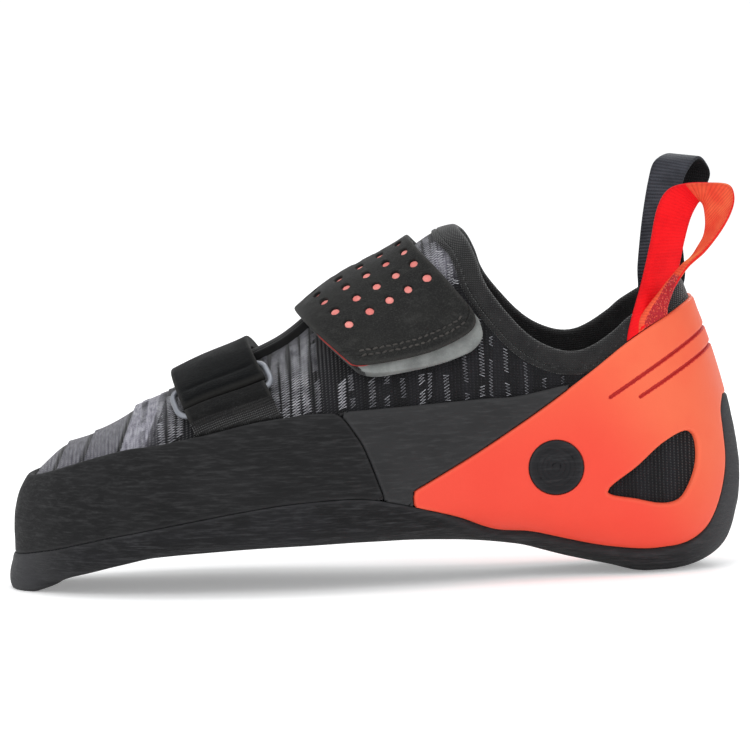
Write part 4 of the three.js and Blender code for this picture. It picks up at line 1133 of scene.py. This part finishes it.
MAIN = {"front": 0.424, "rear": 0.572, "slant_front": 1.1, "slant_rear": 0.82}
MAIN_OUTER_END = curve([
    (0, 41), (0.11, 43.8), (0.25, 46.2), (0.4, 47.8), (0.55, 48.5), (0.7, 48.4), (0.82, 48), (0.9, 47.2),
    (0.97, 45), (1, 42),
])
PAD_OUTER_END = curve([
    (0, 43), (0.07, 46.3), (0.2, 49.2), (0.38, 51.9), (0.58, 53.4), (0.74, 53.7), (0.84, 52.8), (0.93, 50.6),
    (1, 45.5),
])
MAIN_INNER_END = curve([(0, -44), (1, -62)])
FRONT = {"front": 0.239, "rear": 0.3475, "slant_front": 0.5, "slant_rear": 0.62}
FRONT_OUTER_END = curve([(0, 30.8), (1, 28.2)])
FRONT_INNER_END = curve([(0, -36), (1, -45)])
FRONT_LIFT = {"front": 1.7, "rear": 3.8, "low": 0.35}
RING = {"upper": 20.5, "lower": 2.8, "front": -0.075, "rear": 1.06, "bend_across": 0.1, "bend_along": 0.33}
KEEPER = {"top": 0.6, "fold": 5.3, "front_end": 47.0, "rear_end": 56.0, "narrow": 0.1}


def main_place(a, b):
    return wind(mix(MAIN["front"], MAIN["rear"], a), mix(MAIN["slant_front"], MAIN["slant_rear"], a), b)


def front_place(a, b):
    return wind(mix(FRONT["front"], FRONT["rear"], a), mix(FRONT["slant_front"], FRONT["slant_rear"], a), b)


def pad_height(a):
    return mix(5.0, 1.4, ease(a))


def front_bed(a, b):
    across = mix(FRONT_LIFT["front"], FRONT_LIFT["rear"], np.clip(a, 0, 1))
    return STRAP_BED + across * ease((b + 32) / 26) * mix(1.0, FRONT_LIFT["low"], ease((b - 8) / 20))


def grid_patch(points, normals, **values):
    """A grid of columns and rows as a patch; across and down are distances on it."""
    nc, nr = points.shape[:2]
    k = np.arange(nc * nr).reshape(nc, nr)
    a, b, c, d = k[:-1, :-1], k[1:, :-1], k[1:, 1:], k[:-1, 1:]
    faces = np.concatenate([np.stack([a, b, c], -1).reshape(-1, 3), np.stack([a, c, d], -1).reshape(-1, 3)])
    p = points.reshape(-1, 3)
    n = normals.reshape(-1, 3)
    face = np.cross(p[faces[:, 1]] - p[faces[:, 0]], p[faces[:, 2]] - p[faces[:, 0]])
    if (face * n[faces[:, 0]]).sum() < 0:
        faces = faces[:, ::-1]
    across = np.cumsum(np.linalg.norm(np.diff(points, axis=0, prepend=points[:1]), axis=2), 0)
    down = np.cumsum(np.linalg.norm(np.diff(points, axis=1, prepend=points[:, :1]), axis=2), 1)
    flat = {k: np.broadcast_to(v, points.shape[:2]).reshape(-1) for k, v in values.items()}
    return Patch(faces, point=p, normal=n, across=across.reshape(-1), down=down.reshape(-1), **flat)


STRIP_SPARE = 0.02


def strip(place, columns, ends, step, spare):
    """A strap's patch, with something to spare all round. ends gives b at the ends of each column."""
    a = np.linspace(-STRIP_SPARE, 1 + STRIP_SPARE, columns)
    low, high = (end(a) for end in ends)
    count = int(np.max(high - low) / step)
    t = np.linspace(0, 1, count + 1)
    b = mix((low - spare)[:, None], (high + spare)[:, None], t[None])
    points, normals = place(a, b)
    return grid_patch(points, normals, a=a[:, None], b=b, low=low[:, None], high=high[:, None])


def corner_round(first, second, radius):
    """Distance in from two edges that meet in a rounded corner."""
    gap = np.hypot(np.maximum(radius - first, 0), np.maximum(radius - second, 0))
    return np.where(gap > 0, radius - gap, np.minimum(first, second))


def strap_edge(patch, width, radius):
    """Distance in from a strap's edge, all round."""
    side = np.minimum(patch["a"], 1 - patch["a"]) * width
    end = np.minimum(patch["b"] - patch["low"], patch["high"] - patch["b"])
    return corner_round(side, end, radius)


MAIN_WIDTH = 36.5
HOLE_RADIUS = 1.5
HOLE_COLUMNS = 5
HOLE_ROWS = 6
HOLE_SINK = 0.85
STITCH_ROWS = (3.3, 5.2)


def hole_centres():
    """The main strap's perforations: slanting rows of round holes."""
    a = 0.195 + 0.176 * np.arange(HOLE_COLUMNS)
    b = 28.8 - 0.8 * np.arange(HOLE_COLUMNS)[:, None] - 6.9 * np.arange(HOLE_ROWS)[None]
    return main_place(a, b)[0].reshape(-1, 3)


def make_main_strap():
    patch = strip(main_place, 57, (MAIN_INNER_END, MAIN_OUTER_END), 0.68, 0.8)
    p = patch["point"]
    hole = np.linalg.norm(p[:, None] - hole_centres()[None], axis=2).min(1) - HOLE_RADIUS
    patch = patch.with_values(edge=strap_edge(patch, MAIN_WIDTH, 1.2), hole=hole)
    lining = patch
    patch = patch.above("edge").above("hole")
    patch = rounded(patch, "edge", 0.8)
    patch = patch.split("hole", 0.1, 0.3, 0.6)
    patch = patch.with_values(from_end=patch["high"] - patch["b"])
    for row in STITCH_ROWS:
        patch = patch.split("from_end", row - 0.6, row - 0.25, row + 0.25, row + 0.6)
    bed = STRAP_BED + pad_height(patch["a"]) + GAP
    off_row = np.minimum(*[np.abs(patch["from_end"] - row) for row in STITCH_ROWS])
    press = 0.55 * (1 - bead(off_row, 0.6)) * (patch["b"] > 0)
    soft = 0.55 * (1 - bead(patch["edge"], 0.8)) + 0.35 * (1 - bead(patch["hole"], 0.6))
    wave = 0.18 * np.sin(patch["b"] / 9 + 4 * patch["a"]) * np.sin(3 * patch["a"] + 1)
    top = bed + STRAP_WALL - soft - press + wave * ease(patch["edge"] / 4)
    leather = leather_material("strap_leather", srgb(18, 18, 18), srgb(30, 30, 29))
    make_shell("main_strap_leather", patch, top, bed, leather, "main_strap")
    shown = 0.5 * ease((lining["b"] - 20) / 8) * ease((0.1 - lining["a"]) / 0.05)
    lining = lining.with_values(edge=lining["edge"] + shown - 0.25).above("edge").split("hole", -0.16, -0.06)
    low = STRAP_BED + pad_height(lining["a"])
    plug = (STRAP_WALL - HOLE_SINK) * np.clip((-0.06 - lining["hole"]) / 0.1, 0, 1)
    coral = felt_material("strap_lining", srgb(218, 116, 110), srgb(238, 150, 142), 0.06)
    trim = felt_material("lining_edge", srgb(150, 40, 40), srgb(190, 62, 56), 0.06)
    index = (lining.mean("hole") > 0.5).astype(int)
    top = low + GAP - 0.03 + plug
    make_shell("main_strap_lining", lining, top, low + 0.03, [coral, trim], index=index)


def make_strap_pad():
    patch = strip(main_place, 46, (MAIN_INNER_END, PAD_OUTER_END), 0.9, 0.8)
    patch = patch.with_values(edge=strap_edge(patch, MAIN_WIDTH, 1.4)).above("edge")
    patch = rounded(patch, "edge", 1.1)
    thick = pad_height(patch["a"])
    round_off = 1 - bead(patch["edge"], 1.1)
    cover = felt_material("pad_felt", srgb(103, 105, 104), srgb(128, 131, 129), 0.07)
    side = woven_material("pad_side", srgb(22, 22, 23), srgb(36, 36, 36), 0.7, 0.15)
    lip = (patch.mean("b") > patch.mean("high") - 9) & (patch.mean("a") > 0.02)
    top = STRAP_BED + thick - np.minimum(0.45 * thick, 0.7) * round_off
    under = STRAP_BED + np.minimum(0.3 * thick, 0.5) * round_off
    index = np.where(lip, 0, 1)
    pad = make_shell("strap_pad_felt", patch, top, under, [cover, side], "strap_pad", index=index)


def capsule_stitches(centres, directions, normals, length, radius):
    """Short round thread stitches lying on a surface."""
    parts = []
    bow = np.array([-0.5, -0.42, -0.2, 0.2, 0.42, 0.5])
    sink = np.array([-1.0, 0.1, 0.55, 0.55, 0.1, -1.0]) * radius
    for c, d, n in zip(centres, directions, normals):
        path = c + d * (bow * length)[:, None] + n * sink[:, None]
        parts.append(tube(path, np.repeat(n[None], len(path), 0), radius, 6))
    return joined(parts)


def make_strap_stitches():
    """Two rows of short thread stitches inside the main strap's outer end."""
    a = np.linspace(0.07, 0.93, 60)
    centres, directions, ups = [], [], []
    for row in STITCH_ROWS:
        points, normals = main_place(a, (MAIN_OUTER_END(a) - row)[:, None])
        p, n, share = points[:, 0], normals[:, 0], a
        length = np.concatenate([[0], np.cumsum(np.linalg.norm(np.diff(p, axis=0), axis=1))])
        for at in np.arange(1.0 + row / 3, length[-1] - 1, 2.15):
            pick = [np.interp(at, length, p[:, k]) for k in range(3)]
            after = [np.interp(at + 0.5, length, p[:, k]) for k in range(3)]
            up = unit(np.array([np.interp(at, length, n[:, k]) for k in range(3)]))
            lift = STRAP_BED + pad_height(np.interp(at, length, share)) + GAP + STRAP_WALL - 0.36
            centres.append(np.array(pick) + up * lift)
            slew = np.cross(up, np.array(after) - np.array(pick)) * (0.35 * math.sin(at * 5 + row))
            directions.append(unit(np.array(after) - np.array(pick) + slew))
            ups.append(up)
    points, faces = capsule_stitches(centres, directions, ups, 1.4, 0.36)
    thread = felt_material("dark_thread", srgb(44, 42, 40), srgb(64, 61, 58), 0.03, 0.7)
    made = make_object("main_strap_stitches", points, faces, thread)


FRONT_WIDTH = 27.5


def make_front_strap():
    patch = strip(front_place, 46, (FRONT_INNER_END, FRONT_OUTER_END), 0.8, 0.6)
    p = patch["point"] + patch["normal"] * SIDE_BUILD
    clear = -inside(TOE_REGION, p[:, 0], p[:, 2]) - GAP
    side = np.minimum(patch["a"], 1 - patch["a"]) * FRONT_WIDTH
    edge = np.minimum(corner_round(side, patch["b"] - patch["low"], 1.5), clear)
    fold = patch["high"] - patch["b"]
    patch = patch.with_values(fold=fold, edge=np.minimum(edge, fold), rim=edge).above("edge")
    patch = rounded(patch, "fold", FRONT_STRAP_WALL / 2)
    patch = patch.split("fold", 4.4, 5.3, 5.8, 6.2, 6.6, 7.1, 8.0)
    patch = rounded(patch, "rim", 0.7)
    half = FRONT_STRAP_WALL / 2
    fold = np.maximum(0.12, bead(patch["fold"], half))
    swell = 0.3 * np.exp(-((patch["fold"] - 3) / 2) ** 2) - 0.4 * np.exp(-((patch["fold"] - 6.2) / 0.9) ** 2)
    middle = front_bed(patch["a"], patch["b"]) + half
    soft = 0.5 * (1 - bead(patch["rim"], 0.7))
    top = middle + half * fold - soft * fold + swell * ease(patch["rim"] / 5)
    leather = leather_material("front_leather", srgb(5, 6, 7), srgb(11, 12, 13), 0.05)
    under = middle - half * fold + soft * fold * 0.5
    make_shell("front_strap_leather", patch, top, under, leather, "front_strap")


def ring_path():
    turn = np.linspace(0, math.pi / 2, 9)
    low_a, high_a = RING["front"] + RING["bend_across"], RING["rear"] - RING["bend_across"]
    low, high = RING["bend_along"], 1 - RING["bend_along"]
    path = []

    def corner(a, share, start):
        for t in turn:
            across = math.cos(start + t) * RING["bend_across"]
            along = math.sin(start + t) * RING["bend_along"]
            path.append((a + across, share + along))

    corner(high_a, high, 0)
    path += [(mix(high_a, low_a, t), 1.0) for t in np.linspace(0, 1, 17)[1:-1]]
    corner(low_a, high, math.pi / 2)
    corner(low_a, low, math.pi)
    path += [(mix(low_a, high_a, t), 0.0) for t in np.linspace(0, 1, 17)[1:-1]]
    corner(high_a, low, 3 * math.pi / 2)
    a, share = np.array(path).T
    b = mix(RING["upper"], FRONT_OUTER_END(a) + RING["lower"], share)
    points, normals = front_place(a, b[:, None])
    points, normals = points[:, 0], normals[:, 0]
    upper = front_bed(a, np.full(len(a), RING["upper"])) + FRONT_STRAP_WALL / 2
    lower = STRAP_BED + KEEPER_FOLD / 2
    return points + normals * mix(upper, lower, share)[:, None], normals


def make_ring():
    path, normals = ring_path()
    points, faces = tube(path, normals, WIRE / 2, 14, True)
    made = make_object("ring_wire", points, faces, wire_material())
    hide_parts("ring")


def make_keeper():
    a = np.linspace(0, 0.97, 40)
    end = mix(KEEPER["front_end"], KEEPER["rear_end"], a)[:, None]
    low = FRONT_OUTER_END(a)[:, None] + KEEPER["top"]
    fold_end = FRONT_OUTER_END(a)[:, None] + KEEPER["fold"]
    t = np.linspace(0, 1, 60)
    b = np.where(t[None] < 0.5, mix(low, fold_end, t[None] * 2), mix(fold_end, end, t[None] * 2 - 1))
    places, normals = np.zeros(b.shape + (3,)), np.zeros(b.shape + (3,))
    for j in range(len(t)):
        narrow = a * (1 - KEEPER["narrow"] * max(0, t[j] - 0.5))
        q, n = front_place(narrow, b[:, j:j + 1])
        places[:, j], normals[:, j] = q[:, 0], n[:, 0]
    patch = grid_patch(places, normals, a=a[:, None], t=t[None], fold=b - low)
    p = patch["point"] + patch["normal"] * SIDE_BUILD
    clear = -inside(TOE_REGION, p[:, 0], p[:, 2]) - GAP
    side = np.minimum(patch["a"], 0.97 - patch["a"]) * FRONT_WIDTH
    rim = np.minimum(side, clear)
    patch = patch.with_values(rim=rim, edge=np.minimum(rim, patch["fold"]))
    patch = rounded(rounded(patch.above("edge", 0.001), "fold", KEEPER_FOLD / 2), "rim", 0.5)
    thick = mix(KEEPER_FOLD, KEEPER_WALL, ease((patch["t"] - 0.5) * 8))
    middle = STRAP_BED + thick / 2
    swell = thick / 2 * np.maximum(0.1, bead(patch["fold"], KEEPER_FOLD / 2))
    top = middle + swell - 0.35 * (1 - bead(patch["rim"], 0.5))
    leather = leather_material("keeper_leather", srgb(12, 12, 13), srgb(19, 19, 19), 0.08)
    mesh = woven_material("keeper_mesh", srgb(16, 16, 17), srgb(30, 29, 28), 0.85, 0.5, 0.85, 0.2, 0.45)
    index = (patch.mean("t") > 0.56).astype(int)
    make_shell("ring_keeper_leather", patch, top, middle - swell, [leather, mesh], "ring_keeper", index=index)


def make_webbing():
    u = np.linspace(FRONT["rear"] - 0.03, MAIN["front"] - 0.0005, 48)
    b = np.broadcast_to(np.linspace(-WEBBING_WIDTH / 2, WEBBING_WIDTH / 2, 19)[None], (len(u), 19))
    points, normals = wind(u, 0.7, b)
    half = WEBBING_WIDTH / 2
    patch = grid_patch(points, normals, edge=half - np.abs(b))
    top = STRAP_BED + GAP + WEBBING_WALL * (1 - 0.5 * (1 - patch["edge"] / half) ** 3)
    weave = woven_material("webbing_weave", srgb(20, 20, 21), srgb(34, 34, 35), 0.9, 0.35)
    make_shell("instep_webbing_weave", patch, top, UPPER_WALL + 0.05, weave, "instep_webbing")


# Tape loops: rows of (along, side, height) of the tape's one edge, then of its other edge
LOOP_OUTER = [
    (0.85, -0.43, 0.838, 0.9, -0.345, 0.884), (0.869, -0.405, 0.986, 0.917, -0.312, 0.986),
    (0.883, -0.422, 1.122, 0.93, -0.352, 1.123), (0.894, -0.438, 1.243, 0.939, -0.391, 1.203),
    (0.909, -0.453, 1.306, 0.948, -0.438, 1.251), (0.933, -0.5, 1.327, 0.953, -0.469, 1.265),
    (0.964, -0.562, 1.329, 0.956, -0.492, 1.252), (0.988, -0.609, 1.322, 0.957, -0.516, 1.226),
    (0.994, -0.648, 1.288, 0.957, -0.539, 1.183), (0.99, -0.672, 1.242, 0.953, -0.562, 1.144),
    (0.976, -0.68, 1.18, 0.944, -0.562, 1.108), (0.953, -0.672, 1.109, 0.935, -0.539, 1.075),
    (0.93, -0.633, 1.056, 0.924, -0.508, 1.051), (0.915, -0.562, 0.996, 0.906, -0.461, 1.0),
    (0.91, -0.435, 0.938, 0.886, -0.44, 0.943), (0.907, -0.375, 0.857, 0.866, -0.455, 0.874),
]
LOOP_INNER = [
    (0.87, 0.32, 0.886, 0.914, 0.22, 0.911), (0.873, 0.305, 0.955, 0.919, 0.203, 0.966),
    (0.876, 0.305, 1.049, 0.923, 0.234, 1.054), (0.884, 0.312, 1.193, 0.931, 0.266, 1.197),
    (0.894, 0.328, 1.316, 0.941, 0.297, 1.302), (0.903, 0.352, 1.377, 0.951, 0.328, 1.352),
    (0.921, 0.406, 1.398, 0.965, 0.375, 1.384), (0.935, 0.469, 1.384, 0.976, 0.438, 1.364),
    (0.941, 0.5, 1.341, 0.982, 0.477, 1.32), (0.93, 0.5, 1.271, 0.971, 0.477, 1.261),
    (0.902, 0.475, 1.152, 0.943, 0.44, 1.146), (0.9, 0.44, 1.033, 0.94, 0.36, 1.04),
    (0.903, 0.41, 0.949, 0.943, 0.3, 0.964), (0.899, 0.385, 0.88, 0.937, 0.28, 0.9),
]
TAPE_COLUMNS = 14
LOOP_STEPS = 10
LOOP_SETTLE = 20.0
LOOP_TUCK = np.array([-1.0, 0, -6.5, -1.0, 0, -6.5])


def settled(points, run, last):
    """Both ends of a tape come down on the shoe's wall."""
    near_end = np.minimum(run, run[-1] - run)
    for row in np.nonzero(near_end < LOOP_SETTLE)[0]:
        for column in range(points.shape[1]):
            p = points[row, column]
            k = np.linalg.norm(last["point"] - p, axis=1).argmin()
            height = (p - last["point"][k]) @ last["normal"][k]
            spare = height - UPPER_WALL - TAPE_WALL / 2 - 0.15
            share = ease(1.4 - 1.4 * near_end[row] / LOOP_SETTLE)
            points[row, column] = p - last["normal"][k] * np.clip(spare, -4, 4) * share
    return points


def loop_patch(table, last):
    def corner(row):
        u, w, h = row
        return (float(along_x(u)), float(w * local_width(u)), float(h * local_height(u)))

    rows = [(*corner(r[:3]), *corner(r[3:])) for r in table]
    before = np.array(rows[0]) + LOOP_TUCK
    after = np.array(rows[-1]) + LOOP_TUCK
    rows = smooth([before, *rows, after], False, LOOP_STEPS)
    first, second = rows[:, :3], rows[:, 3:]
    share = np.linspace(0, 1, TAPE_COLUMNS + 1)
    points = first[:, None] + (second - first)[:, None] * share[None, :, None]
    width = np.linalg.norm(second - first, axis=1)
    run = np.concatenate([[0], np.cumsum(np.linalg.norm(np.diff((first + second) / 2, axis=0), axis=1))])
    points = settled(points, run, last)
    along = unit(np.gradient(points, axis=0))
    normals = unit(np.cross(along, unit(np.gradient(points, axis=1))))
    edge = np.minimum(share, 1 - share)[None] * width[:, None]
    row = np.arange(len(rows)) / LOOP_STEPS
    patch = grid_patch(points, normals, edge=edge, row=row[:, None], share=share[None])
    x, _, z = patch["point"].T
    return patch.with_values(
        across=np.tile(share * np.mean(width), len(rows)),
        down=np.repeat(run, len(share)),
        clear=-inside(HEEL_REGION, x, z) - 0.25,
    )


def make_loop(name, node, table, last, materials, choose):
    """A tape loop. choose gives a face's material from its place along and across the tape and its side."""
    patch = loop_patch(table, last).above("clear")
    patch = rounded(patch, "edge", 0.5)
    half = TAPE_WALL / 2
    height = half * np.maximum(0.35, bead(patch["edge"], 0.5))
    row, share = patch.mean("row"), patch.mean("share")
    points, faces, uv, values, _ = shell(patch, height, -height)
    index = np.zeros(len(faces), int)
    count = len(row)
    index[:count] = choose(row, share, True)
    index[count:2 * count] = choose(row, share, False)
    made = make_object(name, points, faces, materials, uv, values, index)
    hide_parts(node)


def tape_material(name, dark, light, rib, shade, top_highlight=None):
    """Ribbed tape: fine ribs across it, a slightly darker selvedge and a painted highlight, paler where it
    faces up.
    """
    s = Surface(name, 0.6, 0.15)
    ribs = s.wave(1.15, "Y", distortion=0.25)
    warp = s.wave(0.8, "X", distortion=0.25)
    cloud = s.noise(7)
    colour = s.blend(s.ramp(cloud, 0.3, 0.7), dark, light)
    colour = s.blend(s.ramp(ribs, 0.1, 0.6, shade, 0.0), colour, shade_of(dark, 0.45))
    colour = s.blend(edge_of(s, 0.3), colour, shade_of(dark, 0.5))
    # Painted highlight: the tape is paler where its surface faces up towards the lights.
    if top_highlight:
        normal = s.node("ShaderNodeNewGeometry").outputs["Normal"]
        facing = s.node("ShaderNodeSeparateXYZ", {"Vector": normal}).outputs["Z"]
        colour = s.blend(s.ramp(facing, 0.55, 0.95), colour, top_highlight)
    return s.finish(colour, [(ribs, rib), (warp, rib * 0.4)])


def tack_material():
    """Dense dark red stitching where a tape is sewn down."""
    s = Surface("tape_tack", 0.7, 0.3, sheen=0.1)
    knots = s.ramp(s.cells(1.0, (0.7, 1.5, 0.9), 0.9), 0.15, 0.6)
    colour = s.blend(knots, srgb(234, 76, 62), srgb(166, 22, 34))
    return s.finish(colour, [(knots, -0.4)])


# Pale zigzag yarn in the knit: columns (place along, swing, how much of it shows, lowest and highest height)
YARN_COLUMNS = [
    (-76.5, 1.8, 1.0, 0, 70), (-70.6, 2.0, 2.0, 0, 70), (-67.4, 2.2, 2.0, 0, 70), (-64.2, 2.0, 1.6, 0, 90),
    (-57.0, 1.6, 1.0, 0, 90), (-45.5, 1.6, 0.9, 0, 90), (-38.5, 1.6, 1.4, 0, 90), (-35.2, 1.5, 0.8, 0, 90),
    (-31.6, 2.4, 2.0, 0, 90), (-28.6, 2.6, 2.0, 0, 90), (-24.6, 2.8, 2.0, 0, 90), (-21.2, 2.8, 2.0, 0, 90),
    (-17.6, 1.8, 0.8, 0, 90), (-9.2, 2.6, 1.7, 0, 72), (-6.0, 1.6, 0.7, 0, 72), (0.2, 2.2, 1.3, 0, 72),
    (5.6, 1.8, 0.9, 0, 72), (11.0, 1.6, 0.5, 0, 72), (16.8, 2.0, 1.3, 0, 72), (19.8, 1.4, 0.6, 0, 72),
    (25.6, 1.8, 1.2, 0, 74), (31.8, 1.4, 0.6, 0, 80), (37.2, 1.6, 1.2, 0, 100), (40.6, 1.1, 0.6, 0, 100),
    (46.0, 1.4, 1.1, 0, 100), (52.0, 1.1, 0.6, 0, 100), (58.2, 1.3, 0.7, 0, 100), (65.0, 1.0, 0.3, 0, 100),
    (19.4, 1.8, 2.0, 104, 120), (21.6, 1.8, 2.0, 102, 120), (23.8, 1.8, 2.0, 101, 120),
    (26.0, 1.8, 2.0, 100, 120), (28.2, 1.8, 2.0, 99, 120), (30.4, 1.8, 2.0, 100, 120),
]
YARN_PITCH = 1.05


def make_yarn():
    parts, tones = [], []
    for number, (x, width, full, low, high) in enumerate(YARN_COLUMNS):
        s = np.arange(3.0, 96.0, YARN_PITCH / 2)
        swing = np.where(np.arange(len(s)) % 2 == 0, -0.5, 0.5) * width
        wander = 0.35 * np.sin(s / 7 + number * 1.7) + 0.1 * np.sin(s * 2.3 + number)
        u = share_of(x + swing + wander)
        for side in (1, -1):
            points, normals = wind(u, 0.0, (side * s)[:, None])
            points, normals = points[:, 0], normals[:, 0]
            skin = points + normals * SIDE_BUILD
            mid = points + normals
            covered = np.maximum.reduce([
                inside(TOE_REGION, skin[:, 0], skin[:, 2]),
                inside(PANEL_REGION, skin[:, 0], skin[:, 2]),
                inside(HEEL_REGION, skin[:, 0], skin[:, 2]),
                inside(SOLE_REGION, skin[:, 0], skin[:, 2]),
                inside(COLLAR_REGION, mid[:, 0], mid[:, 2] - COLLAR_TILT * mid[:, 1]) + BINDING_WIDTH,
            ])
            outside = (points[:, 2] < low) | (points[:, 2] > high)
            broken = np.sin(s / 3.1 + number * 2.9) + np.sin(s / 1.3 + number) > full
            gone = (covered > -0.15) | outside | broken
            lift = UPPER_WALL + fold_height(points[:, 0], points[:, 2])
            start = 0
            for k in range(1, len(s) + 1):
                if k == len(s) or gone[k]:
                    if k - start > 3:
                        path = points[start:k] + normals[start:k] * (lift[start:k] + 0.08)[:, None]
                        parts.append(tube(path, normals[start:k], 0.16, 4, False, 0.8))
                        fade = 1 if low > 90 else 0.3 + 0.7 * ease((s[start:k] - 6) / 14)
                        tone = min(1.0, full / 2) * fade * np.ones(k - start)
                        tones.append(np.repeat(tone, 4))
                    start = k + 1
    points, faces = joined(parts)
    values = {"tone": np.concatenate(tones)}
    made = make_object("knit_zigzag_yarn", points, faces, yarn_material(), values=values, sharp=80)


bpy.context.scene.view_settings.view_transform = "Standard"
make_camera()
make_studio()
last = lay_out_last()
make_upper(last)
make_binding(last)
make_insole(last)
make_outsole(last)
make_toe_rand(last)
make_panels(last)
make_heel_rand(last)
make_dot(last)
make_strap_pad()
make_main_strap()
make_strap_stitches()
make_front_strap()
make_ring()
make_keeper()
make_webbing()
# Painted light: the one red tape is coloured deep red where its shaded inner face shows and orange where its
# lit outer face shows.
make_loop(
    "pull_loop_outer_tape", "pull_loop_outer", LOOP_OUTER, last,
    [tape_material("tape_shaded_red", srgb(222, 5, 18), srgb(236, 12, 22), 0.08, 0.12),
     tape_material("tape_lit_orange", srgb(226, 68, 46), srgb(234, 96, 62), 0.12, 0.3, srgb(232, 150, 84)),
     tack_material()],
    lambda row, share, upper: np.where(row < 6, 0, np.where((row < 13.6) | (share > 0.8), 1, 2)),
)
make_loop(
    "pull_loop_inner_tape", "pull_loop_inner", LOOP_INNER, last,
    [tape_material("tape_grey", srgb(46, 48, 54), srgb(64, 66, 73), 0.2, 0.5, srgb(86, 88, 92)),
     tape_material("tape_black", srgb(14, 14, 15), srgb(22, 22, 24), 0.2, 0.6)],
    lambda row, share, upper: np.full(len(row), 1 if upper else 0),
)
make_yarn()
